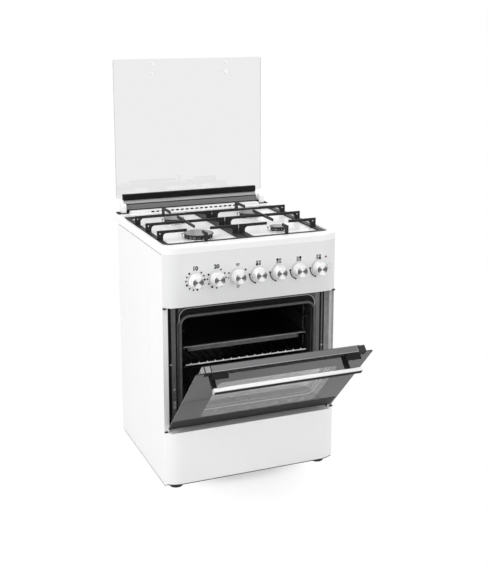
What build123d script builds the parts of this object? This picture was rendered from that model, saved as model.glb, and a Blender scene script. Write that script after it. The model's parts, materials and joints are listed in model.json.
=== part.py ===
from build123d import *
import math
import os

# Freestanding gas range, in millimetres.
# X runs across the front, Y runs from front to back, Z is up from the floor.
# While the pieces are made, Y = 0 is the front edge of the side panels.

# Cabinet
width = 600.0
half_width = width / 2
cabinet_depth = 505.0
cabinet_base = 15.0
cabinet_top = 788.0
sheet = 1.0
inside_half = half_width - sheet
front_return = 17.0
rear_return = 14.0
rear_panel_inset = 14.0
rear_panel_y = cabinet_depth - rear_panel_inset
base_flange = 14.0
foot_radius = 22.0
foot_stud = 6.0
foot_pad = 7.5
foot_inset_x = 44.0
foot_inset_y = 23.0
vent_slots = 9
vent_slot_length = 60.0
vent_slot_height = 5.0
vent_slot_pitch = 13.0
vent_bottom_drop = 148.0
vent_bottom = cabinet_top - vent_bottom_drop

# Front surfaces
front_sheet = 2.0
front_bulge = 20.0
front_curve = 52.0
panel_bottom_drop = 172.0
panel_bottom = cabinet_top - panel_bottom_drop
drawer_bottom_rise = 7.0
drawer_bottom = cabinet_base + drawer_bottom_rise
drawer_top = 199.0
fit_gap = 0.3
shaft_gap = 0.06
front_cut = -2 * front_bulge
panel_skin = front_sheet - front_bulge
flat_half = half_width - front_curve
bow_radius = (front_curve**2 + front_bulge**2) / (2 * front_bulge)

# Oven
cavity_inset = 72.0
cavity_half = half_width - cavity_inset
cavity_bottom_rise = 41.0
cavity_bottom = drawer_top + cavity_bottom_rise
cavity_top_drop = 50.0
cavity_top = panel_bottom - cavity_top_drop
cavity_corner = 22.0
cavity_back_ahead = 65.0
cavity_back = cabinet_depth - cavity_back_ahead
frame_front = 25.0
frame_sheet = 2.0
frame_rim = 18.0
frame_rim_rise = 3.5
frame_bottom_rise = 2.0
frame_bottom = drawer_top + frame_bottom_rise
insulation_wall = 26.0
insulation_front = 40.0
seal_width = 7.0
seal_height = 8.0
seal_offset = 5.0
floor_plate_rise = 27.0
floor_plate_front = 44.0
floor_plate_gap = 8.0
rail_rod = 2.5
rail_post = 3.0
rail_spacer = 2.4
rail_spacer_inset = 15.0
rail_sink = 1.0
rail_wall_gap = 4.0
rail_front = 70.0
rail_nose = 30.0
rail_back_ahead = 40.0
rail_back = cavity_back - rail_back_ahead
rail_levels = 4
rail_overhang = 30.0
rail_first_rise = 95.0
rail_first = cavity_bottom + rail_first_rise
rail_pitch = 61.0
lamp_radius = 24.0
lamp_depth = 14.0
lamp_round = 4.5
lamp_inset = 88.0
lamp_x = cavity_half - lamp_inset
lamp_drop = 66.0
lamp_z = cavity_top - lamp_drop
burner_tube_half = 13.0
burner_tube_height = 14.0
grill_half = 110.0
grill_depth = 190.0
grill_height = 16.0

# Rack and tray
rack_rod = 3.0
rack_wire = 1.75
rack_wires = 15
rack_front = 36.0
rack_back_ahead = 16.0
rack_back = cavity_back - rack_back_ahead
tray_inset = 22.0
tray_half = cavity_half - tray_inset
tray_front = 56.0
tray_back_ahead = 35.0
tray_back = cavity_back - tray_back_ahead
tray_height = 19.0
tray_rim = 10.0
tray_sheet = 1.0
tray_corner = 20.0

# Hob
hob_top_rise = 24.0
hob_top = cabinet_top + hob_top_rise
hob_back_behind = 73.0
hob_back = cabinet_depth + hob_back_behind
hob_corner = 20.0
hob_edge = 7.0
hob_sheet = 2.0
hob_crown = 4.0
well_depth = 8.0
well_floor = hob_top - well_depth
well_inset = 14.0
well_half = half_width - well_inset
well_front = 13.0
well_back_ahead = 78.0
well_back = hob_back - well_back_ahead
well_corner = 22.0
steam_ledge_inset = 54.0
steam_ledge_half = half_width - steam_ledge_inset
steam_ledge_front_ahead = 63.0
steam_ledge_front = hob_back - steam_ledge_front_ahead
steam_ledge_back_ahead = 37.0
steam_ledge_back = hob_back - steam_ledge_back_ahead
steam_ledge_rise = 10.0
steam_ledge_top = hob_top + steam_ledge_rise
steam_ledge_round = 3.0
steam_slots = 19
steam_slot_pitch = 18.5
steam_slot_length = 12.0
steam_slot_height = 5.5
steam_slot_z = (hob_top + steam_ledge_top) / 2

# Burners: half spacing across, front and rear rows, cap radius of each
burner_inset = 160.0
burner_x = half_width - burner_inset
burner_front_behind = 94.0
burner_front = well_front + burner_front_behind
burner_rear_ahead = 142.0
burner_rear = well_back - burner_rear_ahead
cap_radius_front_left = 49.0
cap_radius_rear_left = 36.0
cap_radius_front_right = 27.0
cap_radius_rear_right = 36.0
cap_height = 6.0
cap_round = 3.0
crown_height = 12.0
crown_inset = 4.0
stem_radius = 17.0
stem_depth = 34.0
flame_slots = 20
flame_slot_width = 2.0
flame_slot_height = 5.0
flame_slot_depth = 4.0
electrode_radius = 2.2
electrode_collar = 4.4
electrode_gap = 4.0
electrode_below = 26.0
electrode_rise = 13.0
electrode_turn = 215.0

# Pan supports
support_inset = 6.0
support_half = well_half - support_inset
support_front_behind = 12.0
support_front = well_front + support_front_behind
support_back_ahead = 12.0
support_back = well_back - support_back_ahead
support_bar = 16.0
support_corner = 8.0
support_middle_bar = 24.0
support_gap = 1.5
support_bar_height = 5.7
support_top_rise = 26.0
support_top = hob_top + support_top_rise
finger_thickness = 5.0
finger_height = 9.0
finger_leg = 20.0
finger_gusset = 11.0
finger_gusset_dip = 3.3
finger_reach = 40.0
finger_hole = 2.5

# Controls
knob_first_inset = 103.0
knob_first = knob_first_inset - half_width
knob_pitch = 71.3
knob_height_rise = 83.0
knob_height = panel_bottom + knob_height_rise
knob_count = 7
knob_radius = 19.0
knob_face_radius = 17.5
knob_skirt_radius = 23.5
knob_skirt = 3.0
knob_skirt_slope = 1.5
knob_length = 26.0
knob_gap = 4.0
knob_wall = 4.0
push_room = 4.0
spindle_radius = 4.0
spindle_hole_gap = 2.0
tap_half = 12.0
tap_front = 20.0
tap_depth = 28.0
spindle_in_tap = 14.0
manifold_side = 16.0
manifold_wall = 2.0
manifold_past_tap = 24.0
inlet_clearance = 2.0
timer_half = 26.0
timer_depth = 44.0
timer_bore = 24.0
lamp_lens_radius = 3.0
lamp_lens_inset = 43.0
lamp_lens_x = half_width - lamp_lens_inset
lamp_lens_rise = 35.0
lamp_lens_z = knob_height + lamp_lens_rise
lamp_lens_proud = 2.0
lamp_lens_flange = 5.0
lamp_lens_back = -10.0
button_inset = 30.0
button_x = half_width - button_inset
button_radius = 4.5
button_round = 1.1
button_proud = 3.5
button_stem = 2.5
button_travel = 2.5
switch_depth = 7.5
switch_half_height = 10.0
switch_inner_inset = 8.0
switch_inner = button_x - switch_inner_inset
switch_outer_reach = 14.5
switch_outer = button_x + switch_outer_reach
inlet_radius = 10.5
inlet_bore = 7.0
inlet_neck = 9.5
inlet_length = 22.0
inlet_flange = 15.0
inlet_flange_depth = 3.0
mains_half = 30.0
mains_height = 44.0
mains_depth = 22.0
mains_inset = 85.0
mains_x = mains_inset - half_width
mains_bottom_drop = 56.0
mains_bottom = panel_bottom - mains_bottom_drop
mains_entry = 5.5
mains_entry_depth = 22.0

# Lid
lid_axis_ahead = 27.0
lid_axis_y = hob_back - lid_axis_ahead
lid_axis_rise = 8.0
lid_axis_z = hob_top + lid_axis_rise
lid_glass_inset = 19.0
lid_glass_half = half_width - lid_glass_inset
lid_glass = 5.0
lid_glass_behind = 34.0
lid_glass_y = lid_axis_y + lid_glass_behind
lid_glass_bottom_rise = 38.0
lid_glass_bottom = lid_axis_z + lid_glass_bottom_rise
lid_glass_top_rise = 534.0
lid_glass_top = lid_axis_z + lid_glass_top_rise
lid_glass_corner = 8.0
lid_profile_inset = 42.0
lid_profile_half = half_width - lid_profile_inset
lid_profile_bottom_rise = 32.0
lid_profile_bottom = lid_axis_z + lid_profile_bottom_rise
lid_profile_top_rise = 53.0
lid_profile_top = lid_axis_z + lid_profile_top_rise
lid_profile_depth = 17.0
lid_plate = 4.0
lid_plate_inset = 5.6
lid_barrel = 7.0
lid_barrel_inset = 43.0
lid_barrel_half = half_width - lid_barrel_inset
lid_pin = 4.0
lid_pin_length = 10.0
tower_inner_inset = 42.0
tower_inner = half_width - tower_inner_inset
tower_outer_inset = 24.0
tower_outer = half_width - tower_outer_inset
tower_front_ahead = 14.0
tower_front = lid_axis_y - tower_front_ahead
tower_back_behind = 13.0
tower_back = lid_axis_y + tower_back_behind
tower_top_rise = 26.0
tower_top = lid_axis_z + tower_top_rise
tower_round = 10.0
bumper_x = 138.0
bumper_radius = 6.0
bumper_gap = 0.5
bumper_first_drop = 15.0
bumper_first_z = lid_glass_top - bumper_first_drop
bumper_second_drop = 52.0
bumper_second_z = lid_glass_top - bumper_second_drop

# Door, closed, before it is turned to its rest angle
door_rest_angle = 44.5
door_axis_y = -6.0
door_axis_rise = 29.0
door_axis_z = drawer_top + door_axis_rise
door_face = -22.0
door_back = 12.0
door_bottom_rise = 24.0
door_bottom = drawer_top + door_bottom_rise
door_top_drop = 3.0
door_top = panel_bottom - door_top_drop
door_glass_inset = 9.0
door_glass_half = half_width - door_glass_inset
door_glass = 4.0
door_glass_corner = 4.0
door_frame_inset = 40.0
door_frame_half = half_width - door_frame_inset
door_frame_sheet = 1.5
window_inset = 62.0
window_half = door_frame_half - window_inset
window_bottom_rise = 62.0
window_bottom = door_axis_z + window_bottom_rise
window_top_drop = 81.0
window_top = door_top - window_top_drop
window_corner = 16.0
inner_glass = 3.5
inner_glass_lap = 16.0
top_profile_height = 6.0
top_profile_depth = 20.0
frame_slope_drop = 12.0
end_cap = 9.0
end_cap_lap = 18.0
end_cap_height = 20.0
top_profile_half = door_frame_half - end_cap_lap
hinge_pin = 4.0
hinge_plate = 4.0
hinge_plate_inset = 30.0
hinge_plate_x = half_width - hinge_plate_inset
hinge_boss = 8.0
hinge_arm_height = 60.0
handle_inset = 56.0
handle_half = half_width - handle_inset
handle_offset = 45.0
handle_drop = 29.0
handle_z = door_top - handle_drop
handle_depth = 15.0
handle_height = 19.0
handle_round = 3.75
bracket_inset = 25.0
bracket_x = handle_half - bracket_inset
bracket_foot_half = 24.5
bracket_foot_height = 36.0
bracket_foot_nose = 7.0
bracket_foot = 19.0
bracket_arm = 12.0
bracket_arm_height = 15.0

# Drawer
drawer_box_inset = 2.0
drawer_box_half = flat_half - drawer_box_inset
drawer_box_back_ahead = 65.0
drawer_box_back = cabinet_depth - drawer_box_back_ahead
drawer_box_bottom_rise = 20.0
drawer_box_bottom = drawer_bottom + drawer_box_bottom_rise
drawer_box_top_drop = 49.0
drawer_box_top = drawer_top - drawer_box_top_drop
drawer_lip_back = 18.0
runner_sheet = 2.0
runner_lap = 12.0
runner_height = 40.0
runner_back_ahead = 35.0
runner_back = cabinet_depth - runner_back_ahead


def block(x0, x1, y0, y1, z0, z1):
    """A box from its lower to its upper corner."""
    middle = Pos((x0 + x1) / 2, (y0 + y1) / 2, (z0 + z1) / 2)
    return middle * Box(x1 - x0, y1 - y0, z1 - z0)


def rod_x(radius, x0, x1, y, z):
    """A round bar along X."""
    return Pos((x0 + x1) / 2, y, z) * Rot(0, 90, 0) * Cylinder(radius, x1 - x0)


def rod_y(radius, x, y0, y1, z):
    """A round bar along Y."""
    return Pos(x, (y0 + y1) / 2, z) * Rot(90, 0, 0) * Cylinder(radius, y1 - y0)


def rod_z(radius, x, y, z0, z1):
    """A round bar along Z."""
    return Pos(x, y, (z0 + z1) / 2) * Cylinder(radius, z1 - z0)


def slab_xy(outline, z0, z1):
    """An outline in plan, from one height to another."""
    return extrude(Plane.XY.offset(z0) * outline, z1 - z0)


def slab_xz(outline, y0, y1):
    """An outline seen from the front, from one depth to another."""
    return extrude(Plane.XZ.offset(-y1) * outline, y1 - y0)


def slab_yz(outline, x0, x1):
    """An outline seen from the side, from one place across to another."""
    return extrude(Plane.YZ.offset(x0) * outline, x1 - x0)


def rounded(x0, x1, v0, v1, corner):
    """A rectangle with rounded corners between two corner points."""
    return Pos((x0 + x1) / 2, (v0 + v1) / 2) * RectangleRounded(x1 - x0, v1 - v0, corner)


def join(pieces):
    """One solid made of pieces that meet."""
    first, *others = pieces
    return first.fuse(*others).clean() if others else first


def mirrored(piece):
    """A piece and its mirror image across the middle of the range."""
    return [piece, mirror(piece, Plane.YZ)]


knob_places = [knob_first + i * knob_pitch for i in range(knob_count)]
gas_knob_places = knob_places[1:]
burner_layout = {
    "front_left": (-burner_x, burner_front, cap_radius_front_left),
    "rear_left": (-burner_x, burner_rear, cap_radius_rear_left),
    "front_right": (burner_x, burner_front, cap_radius_front_right),
    "rear_right": (burner_x, burner_rear, cap_radius_rear_right),
}


# Bowed fronts: flat in the middle, with both ends curving back

def bow_depth(x, inset):
    """How far forward the bowed front stands at a place across, drawn in by an inset."""
    past_flat = max(0.0, abs(x) - flat_half)
    return bow_radius - front_bulge - math.sqrt((bow_radius - inset) ** 2 - past_flat**2)


def bow_front_edges(inset):
    """The front line of a bowed outline, from its left end to its right end at Y = 0."""
    radius = bow_radius - inset
    centre_y = bow_radius - front_bulge
    turn = math.acos(centre_y / radius)

    def on_arc(side, angle):
        return (side * (flat_half + radius * math.sin(angle)), centre_y - radius * math.cos(angle))

    left = ThreePointArc(on_arc(-1, turn), on_arc(-1, turn / 2), on_arc(-1, 0))
    middle = Line(on_arc(-1, 0), on_arc(1, 0))
    right = ThreePointArc(on_arc(1, 0), on_arc(1, turn / 2), on_arc(1, turn))
    return [left, middle, right]


def bow_face(inset, back):
    """The plan of a bowed front, closed by a straight back."""
    front = bow_front_edges(inset)
    left_end = front[0] @ 0
    right_end = front[-1] @ 1
    rear = Polyline(right_end, (right_end.X, back), (left_end.X, back), left_end)
    return make_face(front + [rear])


def bow_slice(inset):
    """The plan of a bowed front, cut off straight at Y = 0."""
    front = bow_front_edges(inset)
    return make_face(front + [Line(front[-1] @ 1, front[0] @ 0)])


# Cabinet

def base_tray():
    floor = block(-inside_half, inside_half, front_return, rear_panel_y, cabinet_base, cabinet_base + sheet)
    wall = block(inside_half - sheet, inside_half, front_return, rear_panel_y,
                 cabinet_base, cabinet_base + base_flange)
    return join([floor] + mirrored(wall))


def side_panel():
    """The right side: a plate whose front and rear edges fold inwards."""
    plate = block(inside_half, half_width, 0, cabinet_depth, cabinet_base, cabinet_top)
    front = block(half_width - front_return, half_width, 0, sheet, cabinet_base, cabinet_top)
    rear = block(half_width - rear_return, half_width, cabinet_depth - sheet, cabinet_depth,
                 cabinet_base, cabinet_top)
    return join([plate, front, rear])


def rear_panel():
    panel = block(-inside_half, inside_half, rear_panel_y, rear_panel_y + sheet, cabinet_base, cabinet_top)
    for row in range(vent_slots):
        z = vent_bottom + row * vent_slot_pitch
        slot = SlotOverall(vent_slot_length, vent_slot_height)
        for x in (-vent_slot_length, vent_slot_length):
            panel -= slab_xz(Pos(x, z) * slot, rear_panel_y, rear_panel_y + sheet)
    panel -= rod_y(inlet_radius + fit_gap, inlet_x, rear_panel_y, rear_panel_y + sheet, knob_height)
    return panel


def levelling_feet():
    feet = []
    for x in (-half_width + foot_inset_x, half_width - foot_inset_x):
        for y in (foot_inset_y, rear_panel_y - foot_inset_y):
            pad = rod_z(foot_radius, x, y, 0, foot_pad)
            stud = rod_z(foot_stud, x, y, foot_pad, cabinet_base)
            feet.append(join([pad, stud]))
    return feet


# Oven

def oven_liner():
    outer = block(-cavity_half - sheet, cavity_half + sheet, frame_front + frame_sheet, cavity_back + sheet,
                  cavity_bottom - sheet, cavity_top + sheet)
    return outer - block(-cavity_half, cavity_half, frame_front, cavity_back, cavity_bottom, cavity_top)


def cavity_outline(grow):
    """The oven mouth seen from the front, with a margin around it."""
    return rounded(-cavity_half - grow, cavity_half + grow, cavity_bottom - grow, cavity_top + grow,
                   cavity_corner + grow)


def oven_front_frame():
    back = frame_front + frame_sheet
    plate = block(-inside_half, inside_half, frame_front, back, frame_bottom, panel_bottom)
    rim = slab_xz(cavity_outline(frame_rim), frame_front - frame_rim_rise, frame_front)
    mouth = slab_xz(cavity_outline(0), frame_front - frame_rim_rise, back)
    return join([plate, rim]) - mouth


def door_seal():
    front = frame_front - frame_rim_rise - seal_height
    ring = cavity_outline(seal_offset + seal_width) - cavity_outline(seal_offset)
    return slab_xz(ring, front, frame_front - frame_rim_rise)


def oven_insulation():
    inner = cavity_half + sheet
    outer = inner + insulation_wall
    low = cavity_bottom - sheet
    high = cavity_top + sheet
    back = cavity_back + sheet
    blanket = block(-outer, outer, insulation_front, back + insulation_wall,
                    low - insulation_wall, high + insulation_wall)
    return blanket - block(-inner, inner, 0, back, low, high)


rail_rod_x = cavity_half - rail_wall_gap - 2 * rail_post - rail_rod
rail_post_x = cavity_half - rail_wall_gap - rail_post


def rack_rail():
    """The right rail: posts that stand off the oven wall and a rod for each rack level."""
    low = rail_first - rail_overhang
    high = rail_first + (rail_levels - 1) * rail_pitch + rail_overhang
    pieces = []
    for y in (rail_front, rail_back):
        pieces.append(rod_z(rail_post, rail_post_x, y, low, high))
        for z in (low + rail_spacer_inset, high - rail_spacer_inset):
            pieces.append(rod_x(rail_spacer, rail_post_x, cavity_half, y, z))
    for level in range(rail_levels):
        z = rail_first + level * rail_pitch
        pieces.append(rod_y(rail_rod, rail_rod_x + rail_sink, rail_front - rail_nose,
                            rail_back + rail_post, z))
    return join(pieces)


def oven_floor_plate():
    side = cavity_half - floor_plate_gap
    top = cavity_bottom + floor_plate_rise
    back = cavity_back - floor_plate_gap
    plate = block(-side, side, floor_plate_front, back, top - sheet, top)
    wall = block(side - sheet, side, floor_plate_front, back, cavity_bottom, top)
    return join([plate] + mirrored(wall))


def oven_burner():
    return block(-burner_tube_half, burner_tube_half, rail_front, cavity_back,
                 cavity_bottom, cavity_bottom + burner_tube_height)


def grill_burner():
    """A shallow pan of sheet, open upwards to the oven roof."""
    middle = (frame_front + cavity_back) / 2
    front = middle - grill_depth / 2
    back = middle + grill_depth / 2
    low = cavity_top - grill_height
    pan = block(-grill_half, grill_half, front, back, low, cavity_top)
    inner = grill_half - sheet
    return pan - block(-inner, inner, front + sheet, back - sheet, low + sheet, cavity_top)


def oven_lamp():
    glass = rod_y(lamp_radius, lamp_x, cavity_back - lamp_depth, cavity_back, lamp_z)
    return fillet(glass.edges().group_by(Axis.Y)[0], lamp_round)


# Rack and tray

rack_level_z = rail_first + rail_pitch
rack_z = rack_level_z + rail_rod + fit_gap + rack_rod
rack_half = rail_post_x - rail_post - rack_rod - fit_gap
wire_z = rack_z + rack_wire
tray_level_z = rack_level_z + rail_pitch
tray_rim_half = rail_post_x - rail_post - fit_gap
tray_top = tray_level_z + rail_rod + fit_gap + tray_sheet
tray_z = tray_top - tray_height


def wire_rack():
    sides = mirrored(rod_y(rack_rod, rack_half, rack_front, rack_back, rack_z))
    ends = [rod_x(rack_rod, -rack_half, rack_half, y, rack_z) for y in (rack_front, rack_back)]
    corners = [Pos(x, y, rack_z) * Sphere(rack_rod) for x in (-rack_half, rack_half)
               for y in (rack_front, rack_back)]
    pitch = 2 * rack_half / (rack_wires + 1)
    wire_front = rack_front - rack_rod
    wire_back = rack_back + rack_rod
    wires = [rod_y(rack_wire, -rack_half + (i + 1) * pitch, wire_front, wire_back, wire_z)
             for i in range(rack_wires)]
    return join(sides + ends + corners + wires)


def baking_tray():
    """A shallow tray whose rim hangs on the rails above the rack."""
    body = slab_xy(rounded(-tray_half, tray_half, tray_front, tray_back, tray_corner), tray_z, tray_top)
    rim = slab_xy(rounded(-tray_rim_half, tray_rim_half, tray_front - tray_rim, tray_back + tray_rim,
                          tray_corner + tray_rim), tray_top - tray_sheet, tray_top)
    inside = slab_xy(rounded(-tray_half + tray_sheet, tray_half - tray_sheet, tray_front + tray_sheet,
                             tray_back - tray_sheet, tray_corner - tray_sheet),
                     tray_z + tray_sheet, tray_top)
    return join([body, rim]) - inside


# Hob

def hob_outline(inset):
    """The hob in plan: the bowed front, straight sides and a rounded back."""
    front = bow_front_edges(inset)
    left = front[0] @ 0
    right = front[-1] @ 1
    back = hob_back - inset
    corner = hob_corner - inset
    diagonal = corner * (1 - math.sqrt(0.5))
    edges = front + [
        Line(right, (right.X, back - corner)),
        ThreePointArc((right.X, back - corner), (right.X - diagonal, back - diagonal),
                      (right.X - corner, back)),
        Line((right.X - corner, back), (left.X + corner, back)),
        ThreePointArc((left.X + corner, back), (left.X + diagonal, back - diagonal),
                      (left.X, back - corner)),
        Line((left.X, back - corner), left),
    ]
    return make_face(edges)


def well_outline(grow):
    """The sunken middle of the hob in plan, with a margin around it."""
    return rounded(-well_half - grow, well_half + grow, well_front - grow, well_back + grow,
                   well_corner + grow)


def hob_plate():
    skin = slab_xy(hob_outline(0), cabinet_top, hob_top)
    skin = fillet(skin.edges().group_by(Axis.Z)[-1], hob_edge)
    skin -= slab_xy(hob_outline(hob_sheet), cabinet_top, hob_top - hob_crown)
    pan = slab_xy(well_outline(hob_sheet), well_floor - hob_sheet, hob_top - hob_crown)
    plate = join([skin, pan]) - slab_xy(well_outline(0), well_floor, hob_top)
    for x, y, cap in burner_layout.values():
        plate -= rod_z(stem_radius + fit_gap, x, y, cabinet_top, hob_top)
        ex, ey = electrode_place(x, y, cap)
        plate -= rod_z(electrode_radius + fit_gap, ex, ey, cabinet_top, hob_top)
    return with_steam_ledge(plate)


def with_steam_ledge(plate):
    """Adds the raised strip behind the burners, whose slots let out the oven's steam."""
    ledge = block(-steam_ledge_half, steam_ledge_half, steam_ledge_front, steam_ledge_back,
                  hob_top - hob_crown, steam_ledge_top)
    ledge = fillet(ledge.edges().group_by(Axis.Z)[-1], steam_ledge_round)
    plate = join([plate, ledge])
    plate -= block(-steam_ledge_half + hob_sheet, steam_ledge_half - hob_sheet,
                   steam_ledge_front + hob_sheet, steam_ledge_back - hob_sheet,
                   cabinet_top, steam_ledge_top - hob_sheet)
    first = -(steam_slots - 1) * steam_slot_pitch / 2
    for i in range(steam_slots):
        slot = SlotOverall(steam_slot_length, steam_slot_height)
        plate -= slab_xz(Pos(first + i * steam_slot_pitch, steam_slot_z) * slot,
                         steam_ledge_front, steam_ledge_front + hob_sheet)
    return plate


def electrode_place(x, y, cap):
    """The spark electrode stands beside a burner's crown."""
    reach = cap + electrode_gap + electrode_radius
    turn = math.radians(electrode_turn)
    return x + reach * math.cos(turn), y - reach * math.sin(turn)


def burner_bodies():
    bodies = []
    for x, y, cap in burner_layout.values():
        crown = cap - crown_inset
        top = well_floor + crown_height
        body = join([rod_z(crown, x, y, well_floor, top),
                     rod_z(stem_radius, x, y, well_floor - stem_depth, well_floor)])
        slot = block(crown - flame_slot_depth, crown + flame_slot_depth, -flame_slot_width / 2,
                     flame_slot_width / 2, top - flame_slot_height, top)
        for turn in range(flame_slots):
            body -= Pos(x, y, 0) * Rot(0, 0, turn * 360 / flame_slots) * slot
        bodies.append(body)
    return bodies


def burner_caps():
    caps = []
    for x, y, cap in burner_layout.values():
        bottom = well_floor + crown_height
        disc = rod_z(cap, x, y, bottom, bottom + cap_height)
        caps.append(fillet(disc.edges().group_by(Axis.Z)[-1], cap_round))
    return caps


def spark_electrodes():
    rods = []
    for x, y, cap in burner_layout.values():
        ex, ey = electrode_place(x, y, cap)
        collar = rod_z(electrode_collar, ex, ey, well_floor - hob_sheet - electrode_below,
                       well_floor - hob_sheet)
        rod = rod_z(electrode_radius, ex, ey, well_floor - hob_sheet, well_floor + electrode_rise)
        rods.append(join([collar, rod]))
    return rods


# Pan supports

support_base = well_floor + fit_gap
support_bar_top = support_base + support_bar_height


def finger(root, tip, across, along_x, drilled):
    """An upright plate: a leg on the frame and a slim finger out to its tip."""
    way = 1 if tip > root else -1
    under = support_top - finger_height
    leg = root + way * finger_leg
    corner = (leg + way * finger_gusset, under)
    gusset = ThreePointArc(corner, (leg + way * finger_gusset_dip, under - finger_gusset_dip),
                           (leg, under - finger_gusset))
    rim = Polyline((leg, under - finger_gusset), (leg, support_base), (root, support_base),
                   (root, support_top), (tip, support_top), (tip, under), corner)
    outline = make_face([gusset, rim])
    if drilled:
        outline -= Pos(root + way * finger_leg / 2, support_top - finger_leg / 2) * Circle(finger_hole)
    side = finger_thickness / 2
    place = slab_xz if along_x else slab_yz
    return place(outline, across - side, across + side)


def pan_support():
    """The right support; the left one is its mirror image."""
    inner = support_gap
    outer = support_half
    frame = slab_xy(rounded(inner, outer, support_front, support_back, support_corner),
                    support_base, support_bar_top)
    frame -= slab_xy(rounded(inner + support_middle_bar, outer - support_bar, support_front + support_bar,
                             support_back - support_bar, support_corner), support_base, support_bar_top)
    middle = (burner_front + burner_rear) / 2
    pieces = [frame]
    for y in (burner_front, burner_rear):
        pieces.append(finger(outer, burner_x + finger_reach, y, True, True))
        pieces.append(finger(inner, burner_x - finger_reach, y, True, False))
    pieces.append(finger(outer, burner_x, middle, True, True))
    pieces.append(finger(inner, burner_x, middle, True, False))
    pieces.append(finger(support_front, burner_front - finger_reach, burner_x, False, False))
    pieces.append(finger(support_back, burner_rear + finger_reach, burner_x, False, False))
    side = finger_thickness / 2
    pieces.append(block(burner_x - side, burner_x + side, burner_front + finger_reach,
                        burner_rear - finger_reach, support_top - finger_height, support_top))
    return join(pieces)


# Controls

def control_panel():
    skin = slab_xy(bow_slice(0), panel_bottom, cabinet_top)
    hollow = bow_face(front_sheet, front_bulge)
    skin -= slab_xy(hollow, panel_bottom + front_sheet, cabinet_top - front_sheet)
    lip_half = half_width - front_return - sheet
    lip = block(-lip_half, lip_half, panel_skin, frame_front, panel_bottom, panel_bottom + front_sheet)
    panel = join([skin, lip])
    for x in knob_places:
        panel -= rod_y(spindle_radius + spindle_hole_gap, x, front_cut, 0, knob_height)
    panel -= rod_y(lamp_lens_radius + fit_gap, lamp_lens_x, front_cut, 0, lamp_lens_z)
    panel -= rod_y(button_radius + fit_gap, button_x, front_cut, 0, knob_height)
    return panel


knob_back = -front_bulge - knob_gap
knob_front = knob_back - knob_length
spindle_tip = knob_front + knob_wall + push_room


def knob(x):
    """A round knob with a flared skirt, bored for its spindle."""
    skirt_front = knob_back - knob_skirt
    outline = Polyline((0, knob_back), (knob_skirt_radius, knob_back), (knob_skirt_radius, skirt_front),
                       (knob_radius, skirt_front - knob_skirt_slope), (knob_face_radius, knob_front),
                       (0, knob_front), close=True)
    turned = revolve(make_face(outline), Axis.Y)
    turned = fillet(turned.edges().group_by(Axis.Y)[0], knob_radius - knob_face_radius)
    return Pos(x, 0, knob_height) * turned


def gas_knob(x):
    return knob(x) - rod_y(spindle_radius + shaft_gap, x, knob_front + knob_wall, knob_back, knob_height)


def timer_knob(x):
    stem_end = panel_skin + timer_bore - push_room
    return join([knob(x), rod_y(spindle_radius, x, knob_back - knob_skirt, stem_end, knob_height)])


def tap_spindle(x):
    return rod_y(spindle_radius, x, spindle_tip, tap_front + spindle_in_tap - fit_gap, knob_height)


def gas_taps():
    taps = []
    for x in gas_knob_places:
        body = block(x - tap_half, x + tap_half, tap_front, tap_front + tap_depth,
                     knob_height - tap_half, knob_height + tap_half)
        bore_end = tap_front + spindle_in_tap
        taps.append(body - rod_y(spindle_radius + shaft_gap, x, tap_front, bore_end, knob_height))
    return taps


def minute_timer(x):
    body = block(x - timer_half, x + timer_half, panel_skin, panel_skin + timer_depth,
                 knob_height - timer_half, knob_height + timer_half)
    return body - rod_y(spindle_radius + shaft_gap, x, panel_skin, panel_skin + timer_bore, knob_height)


manifold_front = tap_front + tap_depth
inlet_x = half_width - rear_return - inlet_clearance - inlet_radius


def manifold_run(inset):
    """The square pipe behind the taps and its run back along the right side."""
    side = manifold_side / 2 - inset
    left = gas_knob_places[0] - manifold_past_tap
    rail_middle = manifold_front + manifold_side / 2
    low = knob_height - side
    high = knob_height + side
    feed_end = rear_panel_y - inlet_flange_depth
    rail = block(left, inlet_x + side, rail_middle - side, rail_middle + side, low, high)
    feed = block(inlet_x - side, inlet_x + side, rail_middle - side, feed_end, low, high)
    return join([rail, feed])


def gas_manifold():
    return manifold_run(0) - manifold_run(manifold_wall)


def gas_inlet():
    """The connector that the supply hose screws on, with its flange inside the rear panel."""
    flange_front = rear_panel_y - inlet_flange_depth
    tail_start = rear_panel_y + sheet
    tail_end = tail_start + inlet_length
    flange = block(inlet_x - inlet_flange, inlet_x + inlet_flange, flange_front, rear_panel_y,
                   knob_height - inlet_flange, knob_height + inlet_flange)
    neck = rod_y(inlet_neck, inlet_x, rear_panel_y, tail_start, knob_height)
    tail = rod_y(inlet_radius, inlet_x, tail_start, tail_end, knob_height)
    return join([flange, neck, tail]) - rod_y(inlet_bore, inlet_x, flange_front, tail_end, knob_height)


def mains_terminal_box():
    back = rear_panel_y + sheet
    box = block(mains_x - mains_half, mains_x + mains_half, back, back + mains_depth,
                mains_bottom, mains_bottom + mains_height)
    entry_top = mains_bottom + mains_entry_depth
    return box - rod_z(mains_entry, mains_x, back + mains_depth / 2, mains_bottom, entry_top)


def pilot_lamp():
    lens = rod_y(lamp_lens_radius, lamp_lens_x, bow_depth(lamp_lens_x, 0) - lamp_lens_proud,
                 lamp_lens_back, lamp_lens_z)
    behind = bow_depth(lamp_lens_x + lamp_lens_flange, front_sheet)
    flange = rod_y(lamp_lens_flange, lamp_lens_x, behind, lamp_lens_back, lamp_lens_z)
    return join([lens, flange])


button_back = -switch_depth - button_travel - fit_gap


def ignition_button():
    head = rod_y(button_radius, button_x, bow_depth(button_x, 0) - button_proud, button_back, knob_height)
    head = fillet(head.edges().group_by(Axis.Y)[0], button_round)
    stem = rod_y(button_stem, button_x, button_back, -button_travel - fit_gap, knob_height)
    return join([head, stem])


def ignition_switch():
    body = block(switch_inner, switch_outer, -switch_depth, 0,
                 knob_height - switch_half_height, knob_height + switch_half_height)
    return body - rod_y(button_stem + shaft_gap, button_x, -switch_depth, 0, knob_height)


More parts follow.
